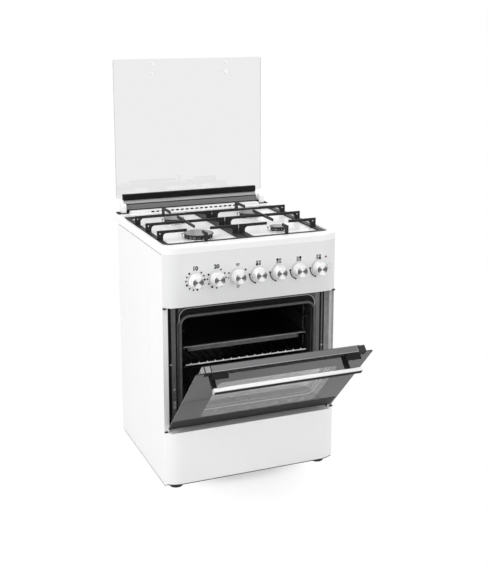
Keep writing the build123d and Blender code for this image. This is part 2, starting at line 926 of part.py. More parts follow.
# Lid

def lid_glass_sheet():
    outline = rounded(-lid_glass_half, lid_glass_half, lid_glass_bottom, lid_glass_top, lid_glass_corner)
    return slab_xz(outline, lid_glass_y - lid_glass / 2, lid_glass_y + lid_glass / 2)


def lid_hinge_profile():
    """The channel that grips the glass, and the plate and barrel that carry it."""
    front = lid_glass_y - lid_profile_depth / 2
    channel = block(-lid_profile_half, lid_profile_half, front, front + lid_profile_depth,
                    lid_profile_bottom, lid_profile_top)
    channel -= block(-lid_profile_half, lid_profile_half, lid_glass_y - lid_glass / 2,
                     lid_glass_y + lid_glass / 2, lid_glass_bottom, lid_profile_top)
    web_front = front + lid_plate_inset
    plate = make_face(Polyline((lid_axis_y, lid_axis_z), (lid_axis_y + lid_plate, lid_axis_z),
                               (web_front + lid_plate, lid_profile_bottom), (web_front, lid_profile_bottom),
                               close=True))
    web = slab_yz(plate, -lid_barrel_half, lid_barrel_half)
    barrel = rod_x(lid_barrel, -lid_barrel_half, lid_barrel_half, lid_axis_y, lid_axis_z)
    bore = rod_x(lid_pin + shaft_gap, -half_width, half_width, lid_axis_y, lid_axis_z)
    return join([channel, web, barrel]) - bore


def lid_hinge_tower():
    """The right tower and the pin that the barrel turns on."""
    outline = rounded(tower_front, tower_back, hob_top, tower_top, tower_round)
    foot = Pos((tower_front + tower_back) / 2, hob_top + tower_round / 2) * Rectangle(
        tower_back - tower_front, tower_round)
    tower = slab_yz(outline + foot, tower_inner, tower_outer)
    pin = rod_x(lid_pin, tower_inner - lid_pin_length, tower_inner, lid_axis_y, lid_axis_z)
    return join([tower, pin])


def lid_bumpers():
    """Rubber buffers that meet the pan supports when the lid is down."""
    glass_front = lid_glass_y - lid_glass / 2
    closed_height = lid_axis_z + glass_front - lid_axis_y
    length = closed_height - support_top - bumper_gap
    return [rod_y(bumper_radius, x, glass_front - length, glass_front, z)
            for x in (-bumper_x, bumper_x) for z in (bumper_first_z, bumper_second_z)]


# Door

glass_back = door_face + door_glass
frame_top = door_top - top_profile_height
frame_slope_end = frame_top - frame_slope_drop
top_profile_back = glass_back + top_profile_depth


def door_outer_glass():
    return slab_xz(rounded(-door_glass_half, door_glass_half, door_bottom, door_top, door_glass_corner),
                   door_face, glass_back)


def window_outline(grow):
    return rounded(-window_half - grow, window_half + grow, window_bottom - grow, window_top + grow,
                   window_corner + grow)


def pan_outline(wall):
    """The door's pan seen from the side, less a wall, with its upper back edge sloped off."""
    back = door_back - wall
    low = door_axis_z + wall
    high = frame_top - wall
    return make_face(Polyline((glass_back, low), (back, low), (back, frame_slope_end - wall),
                              (top_profile_back - wall, high), (glass_back, high), close=True))


def door_inner_frame():
    """A pressed pan, open to the outer glass, with the window in its back wall."""
    wall = door_frame_sheet
    frame = slab_yz(pan_outline(0), -door_frame_half, door_frame_half)
    frame -= slab_yz(pan_outline(wall), -door_frame_half + wall, door_frame_half - wall)
    frame -= slab_xz(window_outline(0), glass_back, door_back)
    inner = door_frame_half - wall
    notch = block(inner - hinge_plate - fit_gap, inner, door_axis_y - hinge_boss - fit_gap,
                  door_axis_y + hinge_boss + fit_gap, door_axis_z, door_axis_z + wall)
    pin_hole = rod_x(hinge_pin + fit_gap, inner, door_frame_half, door_axis_y, door_axis_z)
    for cut in mirrored(notch) + mirrored(pin_hole):
        frame -= cut
    return frame


def door_inner_glass():
    back = door_back - door_frame_sheet
    return slab_xz(window_outline(inner_glass_lap), back - inner_glass, back)


def door_top_profile():
    return block(-top_profile_half, top_profile_half, glass_back, top_profile_back, frame_top, door_top)


def door_end_cap():
    """The right cap: it ends the top profile and laps down the side of the frame."""
    outer = door_frame_half + end_cap
    top = block(top_profile_half, outer, glass_back, top_profile_back, frame_top, door_top)
    skirt = block(door_frame_half, outer, glass_back, top_profile_back, door_top - end_cap_height, door_top)
    return join([top, skirt])


hinge_arm_outer = door_frame_half - door_frame_sheet
hinge_arm_inner = hinge_arm_outer - hinge_plate


def door_hinge_arm():
    """The right arm: a plate inside the door frame's wall, with an eye for the hinge pin."""
    strap = block(hinge_arm_inner, hinge_arm_outer, door_axis_y - hinge_boss, door_axis_y + hinge_boss,
                  door_axis_z, door_axis_z + hinge_arm_height)
    eye = rod_x(hinge_boss, hinge_arm_inner, hinge_arm_outer, door_axis_y, door_axis_z)
    bore = rod_x(hinge_pin + shaft_gap, hinge_arm_inner, hinge_arm_outer, door_axis_y, door_axis_z)
    return join([strap, eye]) - bore


def door_hinge_socket():
    """The right bracket on the oven frame, with the pin that the door turns on."""
    low = door_axis_z - hinge_boss
    high = door_axis_z + hinge_boss
    plate = block(hinge_plate_x, hinge_plate_x + hinge_plate, door_axis_y, frame_front, low, high)
    nose = rod_x(hinge_boss, hinge_plate_x, hinge_plate_x + hinge_plate, door_axis_y, door_axis_z)
    pin = rod_x(hinge_pin, hinge_arm_inner, hinge_plate_x, door_axis_y, door_axis_z)
    return join([plate, nose, pin])


handle_middle = door_face - handle_offset


def handle_bar():
    near = handle_middle + handle_depth / 2
    bar = block(-handle_half, handle_half, near - handle_depth, near,
                handle_z - handle_height / 2, handle_z + handle_height / 2)
    return fillet(bar.edges().filter_by(Axis.X), handle_round)


def handle_brackets():
    """Two like brackets: a sloped foot on the glass and an arm at its left end, out to the bar."""
    nose = door_face - bracket_foot
    side = make_face(Polyline((door_face, door_top), (nose, door_top), (nose, door_top - bracket_foot_nose),
                              (door_face, door_top - bracket_foot_height), close=True))
    brackets = []
    for x in (-bracket_x, bracket_x):
        left = x - bracket_foot_half
        foot = slab_yz(side, left, x + bracket_foot_half)
        arm = block(left, left + bracket_arm, handle_middle + handle_depth / 2, door_face,
                    handle_z - bracket_arm_height / 2, handle_z + bracket_arm_height / 2)
        brackets.append(join([foot, arm]))
    return brackets


# Drawer

def drawer_front():
    shell = slab_xy(bow_slice(0), drawer_bottom, drawer_top)
    hollow = bow_face(front_sheet, front_bulge)
    shell -= slab_xy(hollow, drawer_bottom + front_sheet, drawer_top - front_sheet)
    lip_half = inside_half - front_return - sheet
    lip = block(-lip_half, lip_half, panel_skin, drawer_lip_back, drawer_top - front_sheet, drawer_top)
    return Pos(0, -fit_gap, 0) * join([shell, lip])


def drawer_box():
    front = panel_skin - fit_gap
    outer = block(-drawer_box_half, drawer_box_half, front, drawer_box_back,
                  drawer_box_bottom, drawer_box_top)
    inside = drawer_box_half - sheet
    return outer - block(-inside, inside, front + sheet, drawer_box_back - sheet,
                         drawer_box_bottom + sheet, drawer_box_top)


def drawer_runner():
    """The right runner: an angle on the side panel under the edge of the box."""
    top = drawer_box_bottom - fit_gap
    ledge = block(drawer_box_half - runner_lap, inside_half, front_return, runner_back,
                  top - runner_sheet, top)
    wall = block(inside_half - runner_sheet, inside_half, front_return, runner_back, top - runner_sheet,
                 top + runner_height)
    return join([ledge, wall])


# Assembly

lid_and_cabinet = {
    "base_tray": [base_tray()],
    "side_panel_left": [mirror(side_panel(), Plane.YZ)],
    "side_panel_right": [side_panel()],
    "rear_panel": [rear_panel()],
    "levelling_feet": levelling_feet(),
    "oven_liner": [oven_liner()],
    "oven_front_frame": [oven_front_frame()],
    "door_seal": [door_seal()],
    "oven_insulation": [oven_insulation()],
    "rack_rails": mirrored(rack_rail()),
    "oven_floor_plate": [oven_floor_plate()],
    "oven_burner": [oven_burner()],
    "grill_burner": [grill_burner()],
    "oven_lamp": [oven_lamp()],
    "wire_rack": [wire_rack()],
    "baking_tray": [baking_tray()],
    "hob_plate": [hob_plate()],
    "burner_bodies": burner_bodies(),
    "burner_caps": burner_caps(),
    "spark_electrodes": spark_electrodes(),
    "pan_support_left": [mirror(pan_support(), Plane.YZ)],
    "pan_support_right": [pan_support()],
    "control_panel": [control_panel()],
    "gas_taps": gas_taps(),
    "minute_timer": [minute_timer(knob_places[0])],
    "timer_knob": [timer_knob(knob_places[0])],
    "gas_manifold": [gas_manifold()],
    "gas_inlet": [gas_inlet()],
    "mains_terminal_box": [mains_terminal_box()],
    "pilot_lamp": [pilot_lamp()],
    "ignition_button": [ignition_button()],
    "ignition_switch": [ignition_switch()],
    "lid_glass": [lid_glass_sheet()],
    "lid_hinge_profile": [lid_hinge_profile()],
    "lid_hinge_towers": mirrored(lid_hinge_tower()),
    "lid_bumpers": lid_bumpers(),
    "door_hinge_sockets": mirrored(door_hinge_socket()),
    "drawer_front": [drawer_front()],
    "drawer_box": [drawer_box()],
    "drawer_runners": mirrored(drawer_runner()),
}
tap_names = ["oven", "grill", "front_left", "rear_left", "rear_right", "front_right"]
for tap_name, tap_x in zip(tap_names, gas_knob_places):
    lid_and_cabinet[f"tap_spindle_{tap_name}"] = [tap_spindle(tap_x)]
    lid_and_cabinet[f"knob_{tap_name}"] = [gas_knob(tap_x)]

door_axis = Axis((0, door_axis_y, door_axis_z), (1, 0, 0))
door_closed = {
    "door_outer_glass": [door_outer_glass()],
    "door_inner_glass": [door_inner_glass()],
    "door_inner_frame": [door_inner_frame()],
    "door_top_profile": [door_top_profile()],
    "door_end_caps": mirrored(door_end_cap()),
    "door_hinge_arms": mirrored(door_hinge_arm()),
    "handle_bar": [handle_bar()],
    "handle_brackets": handle_brackets(),
}
door_at_rest = {name: [piece.rotate(door_axis, door_rest_angle) for piece in pieces]
                for name, pieces in door_closed.items()}

nodes = lid_and_cabinet | door_at_rest

# The origin is on the floor, at the middle of the range's box with the door at rest
boxes = [piece.bounding_box() for pieces in nodes.values() for piece in pieces]
front_end = min(box.min.Y for box in boxes)
rear_end = max(box.max.Y for box in boxes)
origin_y = (front_end + rear_end) / 2

os.makedirs("parts", exist_ok=True)
for name, pieces in nodes.items():
    placed = [Pos(0, -origin_y, 0) * piece for piece in pieces]
    solids = [solid for piece in placed for solid in piece.solids()]
    export_step(solids[0] if len(solids) == 1 else Compound(children=solids), f"parts/{name}.step")
print(len(nodes), "nodes, origin at Y =", round(origin_y, 3), "behind the front edge of the sides")
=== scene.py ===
import json
import math

import bmesh
import bpy
from mathutils import Matrix, Vector

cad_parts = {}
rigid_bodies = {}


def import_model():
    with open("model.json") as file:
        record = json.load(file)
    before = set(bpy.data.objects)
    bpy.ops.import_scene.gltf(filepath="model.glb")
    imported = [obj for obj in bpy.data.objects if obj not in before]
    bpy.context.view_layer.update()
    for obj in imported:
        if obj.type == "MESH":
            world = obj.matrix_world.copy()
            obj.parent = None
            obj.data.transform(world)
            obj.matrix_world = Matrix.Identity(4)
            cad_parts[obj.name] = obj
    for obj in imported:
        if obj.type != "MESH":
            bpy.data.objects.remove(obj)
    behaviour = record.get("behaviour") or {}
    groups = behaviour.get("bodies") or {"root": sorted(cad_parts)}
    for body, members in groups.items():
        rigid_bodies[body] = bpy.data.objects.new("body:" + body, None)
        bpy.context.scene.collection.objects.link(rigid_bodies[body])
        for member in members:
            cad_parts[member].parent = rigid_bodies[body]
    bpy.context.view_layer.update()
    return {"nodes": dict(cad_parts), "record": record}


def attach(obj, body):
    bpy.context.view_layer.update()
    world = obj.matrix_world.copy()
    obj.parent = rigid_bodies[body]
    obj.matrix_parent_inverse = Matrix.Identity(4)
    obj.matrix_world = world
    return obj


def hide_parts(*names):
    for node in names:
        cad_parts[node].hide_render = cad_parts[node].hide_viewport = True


for leftover in list(bpy.data.objects):
    bpy.data.objects.remove(leftover)

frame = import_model()
nodes = frame["nodes"]
node_body = {n: body for body, names in frame["record"]["behaviour"]["bodies"].items() for n in names}
scene = bpy.context.scene
scene.view_settings.view_transform = "Standard"

MM = 0.001
ORIGIN_Y = 142.007
DOOR_PIVOT = Vector((0.0, (-6.0 - ORIGIN_Y) * MM, 228.0 * MM))
DOOR_REST = math.radians(44.5)
TO_DOOR = (Matrix.Translation(DOOR_PIVOT) @ Matrix.Rotation(DOOR_REST, 4, "X")
           @ Matrix.Translation(-DOOR_PIVOT))


def at(x, y, z):
    """A point of the range in metres, from millimetres behind the front edge of the side panels."""
    return Vector((x * MM, (y - ORIGIN_Y) * MM, z * MM))


# Node materials


def finish(name, colour, rough, metal=0.0, **sockets):
    """A material with one principled shader; sockets holds its other values."""
    mat = bpy.data.materials.new(name)
    mat.use_nodes = True
    shader = mat.node_tree.nodes["Principled BSDF"]
    shader.inputs["Base Color"].default_value = (*colour, 1.0)
    shader.inputs["Roughness"].default_value = rough
    shader.inputs["Metallic"].default_value = metal
    for socket, value in sockets.items():
        shader.inputs[socket.replace("_", " ")].default_value = value
    return mat


def add(mat, kind, **settings):
    """A new node of a material or world."""
    made = mat.node_tree.nodes.new("ShaderNode" + kind)
    for key, value in settings.items():
        setattr(made, key, value)
    return made


def wire(mat, source, target):
    mat.node_tree.links.new(source, target)


def shader_of(mat):
    return mat.node_tree.nodes["Principled BSDF"]


def surface_place(mat, scale=(1, 1, 1)):
    """Object coordinates, stretched."""
    coord = add(mat, "TexCoord")
    mapping = add(mat, "Mapping")
    mapping.inputs["Scale"].default_value = scale
    wire(mat, coord.outputs["Object"], mapping.inputs["Vector"])
    return mapping.outputs["Vector"]


def noise(mat, place, scale, detail=3.0):
    tex = add(mat, "TexNoise")
    tex.inputs["Scale"].default_value = scale
    tex.inputs["Detail"].default_value = detail
    wire(mat, place, tex.inputs["Vector"])
    return tex.outputs["Fac"]


def ramp(mat, fac, stops):
    made = add(mat, "ValToRGB")
    marks = made.color_ramp.elements
    while len(marks) < len(stops):
        marks.new(0.5)
    for mark, (pos, colour) in zip(marks, stops):
        mark.position = pos
        mark.color = (*colour, 1.0)
    wire(mat, fac, made.inputs["Fac"])
    return made.outputs["Color"]


def spread(mat, fac, low, high, from_low=0.3, from_high=0.7):
    made = add(mat, "MapRange")
    made.inputs["From Min"].default_value = from_low
    made.inputs["From Max"].default_value = from_high
    made.inputs["To Min"].default_value = low
    made.inputs["To Max"].default_value = high
    wire(mat, fac, made.inputs["Value"])
    return made.outputs["Result"]


def relief(mat, height, strength, depth):
    made = add(mat, "Bump")
    made.inputs["Strength"].default_value = strength
    made.inputs["Distance"].default_value = depth
    wire(mat, height, made.inputs["Height"])
    wire(mat, made.outputs["Normal"], shader_of(mat).inputs["Normal"])


def vary_colour(mat, place, scale, dark, light, detail=3.0):
    fac = noise(mat, place, scale, detail)
    wire(mat, ramp(mat, fac, [(0.35, dark), (0.65, light)]), shader_of(mat).inputs["Base Color"])


def vary_gloss(mat, place, scale, low, high):
    wire(mat, spread(mat, noise(mat, place, scale), low, high), shader_of(mat).inputs["Roughness"])


def enamel(name, colour, rough, peel=0.0, shift=0.012):
    """Fired enamel: slight drift in tone and gloss, with a rippled skin where peel is set."""
    mat = finish(name, colour, rough, IOR=1.5)
    place = surface_place(mat)
    darker = [c * (1 - shift) for c in colour]
    vary_colour(mat, place, 2.5, darker, colour, 1.0)
    vary_gloss(mat, place, 600.0, rough * 0.9, rough * 1.1)
    if peel:
        relief(mat, noise(mat, place, 260.0, 1.0), peel, 0.0002)
    return mat


def moulded(name, colour, rough, grain=0.12, shine=0.5):
    """Moulded plastic or rubber with a fine even grain."""
    mat = finish(name, colour, rough, Specular_IOR_Level=shine)
    place = surface_place(mat)
    vary_colour(mat, place, 60.0, [c * 0.86 for c in colour], [min(1.0, c * 1.1) for c in colour])
    vary_gloss(mat, place, 240.0, rough * 0.85, min(1.0, rough * 1.15))
    relief(mat, noise(mat, place, 1500.0, 2.0), grain, 0.0004)
    return mat


def drawn_metal(name, colour, rough, along=(6, 700, 700), mark=0.1, streak=0.12):
    """Metal with fine lines along the way it was drawn or brushed."""
    mat = finish(name, colour, rough, 1.0)
    place = surface_place(mat, scale=along)
    darker = [c * (1 - streak) for c in colour]
    lighter = [min(1, c * (1 + streak)) for c in colour]
    vary_colour(mat, place, 1.0, darker, lighter)
    vary_gloss(mat, place, 1.4, rough * 0.7, rough * 1.35)
    relief(mat, noise(mat, place, 1.0), mark, 0.0003)
    return mat


# One white enamel in four tones set apart as painted light and shade: the control panel darkest, the hob and
# the drawer lightest.
white_side = enamel("white_side_enamel", (0.87, 0.87, 0.868), 0.26)
white_hob = enamel("white_hob_enamel", (0.9, 0.9, 0.898), 0.24)
white_panel = enamel("white_panel_enamel", (0.79, 0.792, 0.795), 0.26)
white_drawer = enamel("white_drawer_enamel", (0.89, 0.89, 0.89), 0.26)
cap_enamel = enamel("burner_cap_enamel", (0.27, 0.27, 0.275), 0.32, 0.06, 0.15)
grate_enamel = moulded("grate_enamel", (0.017, 0.017, 0.018), 0.45, 0.2, 0.28)
black_plastic = moulded("black_plastic", (0.008, 0.008, 0.0085), 0.6, 0.12, 0.14)
foot_rubber = moulded("foot_rubber", (0.02, 0.02, 0.02), 0.7, 0.3)
# Near black for painted shadow: in the corner gaps and along the foot of the sides and the drawer.
seal_rubber = moulded("seal_rubber", (0.03, 0.03, 0.031), 0.6, 0.2)
knob_white = moulded("knob_white", (0.87, 0.87, 0.868), 0.18, 0.03)
print_ink = moulded("panel_ink", (0.012, 0.012, 0.013), 0.6, 0.05, 0.2)
# Grey ink for the marks on the ignition button, also the painted shadow under the hob's rim.
grey_ink_and_rim_shadow = moulded("grey_ink_and_rim_shadow", (0.4, 0.4, 0.4), 0.5, 0.05)
handle_metal = drawn_metal("handle_aluminium", (0.84, 0.84, 0.845), 0.3, (5, 900, 900), 0.06, 0.05)
profile_metal = drawn_metal("profile_aluminium", (0.17, 0.17, 0.174), 0.45, (5, 900, 900), 0.1, 0.08)
# Steel of the rails and the rack, painted near black as the dark oven it reflects; the front wire's
# brightness is painted separately.
rack_steel_shaded = drawn_metal("rack_steel_painted_dark", (0.06, 0.06, 0.062), 0.4, (500, 6, 500), 0.05, 0.15)
crown_metal = drawn_metal("burner_aluminium", (0.66, 0.66, 0.67), 0.24, (40, 40, 600), 0.08, 0.1)
door_silicone = moulded("door_seal_silicone", (0.1, 0.1, 0.102), 0.45, 0.06, 0.3)
silicone = moulded("bumper_silicone", (0.8, 0.8, 0.795), 0.35, 0.04)
plain_steel = drawn_metal("plain_steel", (0.46, 0.46, 0.47), 0.35, (120, 120, 20), 0.1, 0.12)
turned_brass = drawn_metal("turned_brass", (0.66, 0.5, 0.22), 0.3, (90, 300, 90), 0.12, 0.12)


def oven_enamel(name, colour, rough):
    """Black oven enamel with pale specks."""
    mat = finish(name, colour, rough)
    place = surface_place(mat)
    cells = add(mat, "TexVoronoi")
    cells.inputs["Scale"].default_value = 260.0
    wire(mat, place, cells.inputs["Vector"])
    specks = ramp(mat, cells.outputs["Distance"], [(0.05, (0.16, 0.16, 0.165)), (0.16, colour)])
    wire(mat, specks, shader_of(mat).inputs["Base Color"])
    vary_gloss(mat, place, 40.0, rough * 0.7, rough * 1.4)
    relief(mat, noise(mat, place, 380.0, 2.0), 0.08, 0.0006)
    return mat


def zinc_sheet(name, colour):
    """Galvanised sheet with its spangle."""
    mat = finish(name, colour, 0.4, 1.0)
    place = surface_place(mat)
    cells = add(mat, "TexVoronoi")
    cells.inputs["Scale"].default_value = 150.0
    wire(mat, place, cells.inputs["Vector"])
    darker = [c * 0.93 for c in colour]
    lighter = [c * 1.05 for c in colour]
    spangle = ramp(mat, cells.outputs["Color"], [(0.2, darker), (0.8, lighter)])
    wire(mat, spangle, shader_of(mat).inputs["Base Color"])
    vary_gloss(mat, place, 150.0, 0.36, 0.48)
    relief(mat, noise(mat, place, 150.0), 0.02, 0.0003)
    return mat


def pane(name, tint, rough, ior):
    """Float glass whose surface carries a trace of smears."""
    mat = finish(name, tint, rough, IOR=ior, Transmission_Weight=1.0)
    place = surface_place(mat)
    vary_gloss(mat, place, 14.0, rough, rough + 0.015)
    relief(mat, noise(mat, place, 3.0), 0.015, 0.002)
    return mat


oven_black = oven_enamel("oven_enamel", (0.026, 0.026, 0.027), 0.2)
frame_black = oven_enamel("oven_frame_enamel", (0.075, 0.075, 0.077), 0.22)
zinc = zinc_sheet("galvanised_sheet", (0.56, 0.57, 0.58))
lid_pane = pane("lid_glass", (0.84, 0.845, 0.842), 0.0, 1.48)
door_pane = pane("door_outer_glass", (0.93, 0.935, 0.94), 0.0, 1.54)
inner_pane = pane("door_inner_glass", (0.9, 0.905, 0.905), 0.0, 1.8)


def two_tone(name, low_mat, high_mat, axis, edge, soft=0.0003):
    """Two finishes, each a colour, roughness and metal share, that meet at a place along an axis."""
    mat = finish(name, *high_mat)
    place = surface_place(mat)
    split = add(mat, "SeparateXYZ")
    wire(mat, place, split.inputs["Vector"])
    mask = spread(mat, split.outputs[axis], 0.0, 1.0, edge - soft, edge + soft)
    tone = ramp(mat, mask, [(0.0, low_mat[0]), (1.0, high_mat[0])])
    grain = add(mat, "MixRGB", blend_type="MULTIPLY")
    grain.inputs["Fac"].default_value = 1.0
    wire(mat, tone, grain.inputs["Color1"])
    flecks = ramp(mat, noise(mat, place, 60.0), [(0.3, (0.88,) * 3), (0.7, (1.0,) * 3)])
    wire(mat, flecks, grain.inputs["Color2"])
    wire(mat, grain.outputs["Color"], shader_of(mat).inputs["Base Color"])
    wire(mat, spread(mat, mask, low_mat[1], high_mat[1], 0, 1), shader_of(mat).inputs["Roughness"])
    wire(mat, spread(mat, mask, low_mat[2], high_mat[2], 0, 1), shader_of(mat).inputs["Metallic"])
    relief(mat, noise(mat, place, 900.0, 2.0), 0.08, 0.0004)
    return mat


PORCELAIN_TOP = 0.812
TRAY_FRONT_END = -0.0815
electrode_mix = two_tone("electrode", ((0.82, 0.8, 0.75), 0.35, 0.0), ((0.35, 0.34, 0.33), 0.35, 1.0),
                         "Z", PORCELAIN_TOP)
# Left and right caps are one plastic in two tones: the left painted light grey as lit, the right near black
# as shaded.
end_caps_lit_and_shaded = two_tone("door_end_caps", ((0.3, 0.3, 0.306), 0.4, 0.0), ((0.008, 0.008, 0.0085), 0.55, 0.0),
                       "X", 0.0)
# The tray's front strip is painted light grey as its lit front lip; the rest stays near black.
tray_lit_front = two_tone("baking_tray", ((0.11, 0.11, 0.112), 0.3, 0.0), ((0.006, 0.006, 0.0065), 0.4, 0.0),
                    "Y", TRAY_FRONT_END)


def banded(name, bands, low, high, rough):
    """Painted bands stacked in height; each band is its lowest height in metres and its colour."""
    mat = finish(name, bands[-1][1], rough, Specular_IOR_Level=0.2)
    split = add(mat, "SeparateXYZ")
    wire(mat, surface_place(mat), split.inputs["Vector"])
    level = spread(mat, split.outputs["Z"], 0.0, 1.0, low, high)
    tone = ramp(mat, level, [((edge - low) / (high - low), colour) for edge, colour in bands])
    tone.node.color_ramp.interpolation = "CONSTANT"
    lines = noise(mat, surface_place(mat, scale=(6, 500, 700)), 1.0)
    streaks = add(mat, "MixRGB", blend_type="MULTIPLY")
    streaks.inputs["Fac"].default_value = 1.0
    wire(mat, tone, streaks.inputs["Color1"])
    wire(mat, ramp(mat, lines, [(0.35, (0.62,) * 3), (0.65, (1.0,) * 3)]), streaks.inputs["Color2"])
    wire(mat, streaks.outputs["Color"], shader_of(mat).inputs["Base Color"])
    vary_gloss(mat, surface_place(mat), 60.0, rough * 0.85, rough * 1.2)
    relief(mat, lines, 0.08, 0.0003)
    return mat


# The near-black band from 0.837 m to 0.8405 m is a painted shadow line where the grey bands meet.
hinge_bands_with_shadow_line = banded("lid_hinge_bands_with_shadow_line", [(0.81, (0.008, 0.008, 0.0085)), (0.8245, (0.17, 0.17, 0.173)),
                                         (0.837, (0.012, 0.012, 0.012)), (0.8405, (0.46, 0.46, 0.465)),
                                         (0.8518, (0.004, 0.004, 0.0042))], 0.81, 0.88, 0.42)


def lens(name, colour):
    """Clear coloured plastic over a lamp."""
    mat = finish(name, colour, 0.12, Coat_Weight=0.6)
    place = surface_place(mat)
    vary_colour(mat, place, 300.0, [c * 0.8 for c in colour], colour)
    relief(mat, noise(mat, place, 900.0), 0.1, 0.0003)
    return mat


red_lens = lens("red_lens", (0.16, 0.006, 0.006))
lamp_glass = pane("lamp_glass", (0.93, 0.93, 0.9), 0.05, 1.45)


def wool_blanket():
    """Mineral wool in layers."""
    mat = finish("mineral_wool", (0.62, 0.55, 0.33), 0.95)
    place = surface_place(mat, scale=(90, 90, 420))
    vary_colour(mat, place, 1.0, (0.5, 0.43, 0.22), (0.72, 0.66, 0.42), 6.0)
    relief(mat, noise(mat, place, 1.0, 6.0), 0.8, 0.003)
    return mat


wool = wool_blanket()


# Shapes


def turned(profile, steps, axis="Z"):
    """A solid of revolution from pairs of radius and height along the axis."""
    bm = bmesh.new()
    row = [bm.verts.new((r * MM, 0.0, h * MM)) for r, h in profile]
    edges = [bm.edges.new(pair) for pair in zip(row, row[1:])]
    bmesh.ops.spin(bm, geom=row + edges, cent=(0, 0, 0), axis=(0, 0, 1), angle=math.tau, steps=steps,
                   use_merge=True)
    bmesh.ops.remove_doubles(bm, verts=bm.verts, dist=1e-6)
    if axis == "Y":
        bmesh.ops.rotate(bm, cent=(0, 0, 0), matrix=Matrix.Rotation(math.radians(90), 3, "X"), verts=bm.verts)
    return bm


def slab(bm, low, high):
    """A box between two corners."""
    size = Vector(high) - Vector(low)
    middle = (Vector(high) + Vector(low)) / 2
    place = Matrix.Translation(middle) @ Matrix.Diagonal((*size, 1.0))
    bmesh.ops.create_cube(bm, size=1.0, matrix=place)


def soften(bm, width, segments=2, angle=30.0):
    """Rounds the edges that turn by more than an angle."""
    limit = math.radians(angle)
    edges = [e for e in bm.edges if len(e.link_faces) == 2 and e.calc_face_angle() > limit]
    bmesh.ops.bevel(bm, geom=edges, offset=width * MM, offset_type="OFFSET", segments=segments, profile=0.5,
                    affect="EDGES", material=-1, clamp_overlap=True)


def block_piece(low, high, round_mm, segments=3):
    bm = bmesh.new()
    slab(bm, low, high)
    soften(bm, round_mm, segments)
    return bm


def side_pair(x_span, y_span, z_span, round_mm, segments=3):
    """The same bar on the left and on the right, from its spans in millimetres on the right."""
    bars = []
    for side in (-1, 1):
        x0, x1 = sorted(side * x for x in x_span)
        low = at(x0, y_span[0], z_span[0])
        high = at(x1, y_span[1], z_span[1])
        bars.append(block_piece(low, high, round_mm, segments))
    return bars


def rod(middle, length, radius, segments):
    """A round bar across the range."""
    bm = bmesh.new()
    turn = Matrix.Rotation(math.radians(90), 4, "Y")
    bmesh.ops.create_cone(bm, cap_ends=True, segments=segments, radius1=radius * MM, radius2=radius * MM,
                          depth=length * MM, matrix=Matrix.Translation(middle) @ turn)
    return bm


def on_ring(x, z, radius, degrees):
    """A place on a circle seen from the front, anticlockwise from three o'clock."""
    way = math.radians(degrees)
    return x + radius * math.cos(way), z + radius * math.sin(way)


def merge(parts):
    """Several meshes in one."""
    whole = bmesh.new()
    for part in parts:
        scrap = bpy.data.meshes.new("scrap")
        part.to_mesh(scrap)
        part.free()
        whole.from_mesh(scrap)
        bpy.data.meshes.remove(scrap)
    return whole


def moved(bm, offset):
    bmesh.ops.translate(bm, verts=bm.verts, vec=offset)
    return bm


def piece(name, bm, body, material, stands_for=(), crease=35.0, recalc=True):
    """Makes a finished piece of a mesh and sets it on its body."""
    if recalc:
        bmesh.ops.recalc_face_normals(bm, faces=bm.faces)
    mesh = bpy.data.meshes.new(name)
    bm.to_mesh(mesh)
    bm.free()
    mesh.shade_smooth()
    mesh.set_sharp_from_angle(angle=math.radians(crease))
    obj = bpy.data.objects.new(name, mesh)
    obj.modifiers.new("flat_faces", "WEIGHTED_NORMAL").keep_sharp = True
    scene.collection.objects.link(obj)
    for mat in material if isinstance(material, list) else [material]:
        mesh.materials.append(mat)
    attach(obj, body)
    if stands_for:
        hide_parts(*stands_for)
    return obj


def coat(material, *names):
    """Gives CAD nodes a finish."""
    for name in names:
        for holder in nodes[name].material_slots:
            holder.material = material


def dress(node, material, width, segments=2, angle=30.0):
    """A CAD node's own shape with its edges rounded off."""
    bm = bmesh.new()
    bm.from_mesh(nodes[node].data)
    bmesh.ops.remove_doubles(bm, verts=bm.verts, dist=1e-5)
    bmesh.ops.dissolve_limit(bm, angle_limit=math.radians(0.4), verts=bm.verts, edges=bm.edges)
    soften(bm, width, segments, angle)
    bmesh.ops.dissolve_degenerate(bm, dist=1e-6, edges=bm.edges)
    return piece(f"{node}_finished", bm, node_body[node], material, (node,), recalc=False)


# CAD nodes that keep their own shape

coat(zinc, "base_tray", "drawer_box", "drawer_runners")
coat(oven_black, "oven_liner", "oven_floor_plate")
coat(door_silicone, "door_seal")
coat(wool, "oven_insulation")
coat(rack_steel_shaded, "rack_rails", "wire_rack")
coat(plain_steel, "oven_burner", "grill_burner", "gas_manifold", "door_hinge_sockets", "door_hinge_arms")
coat(lamp_glass, "oven_lamp")
coat(electrode_mix, "spark_electrodes")
coat(turned_brass, "gas_taps")
coat(black_plastic, "minute_timer", "ignition_switch")
coat(red_lens, "pilot_lamp")
for tap in ("oven", "grill", "front_left", "rear_left", "rear_right", "front_right"):
    coat(plain_steel, f"tap_spindle_{tap}")

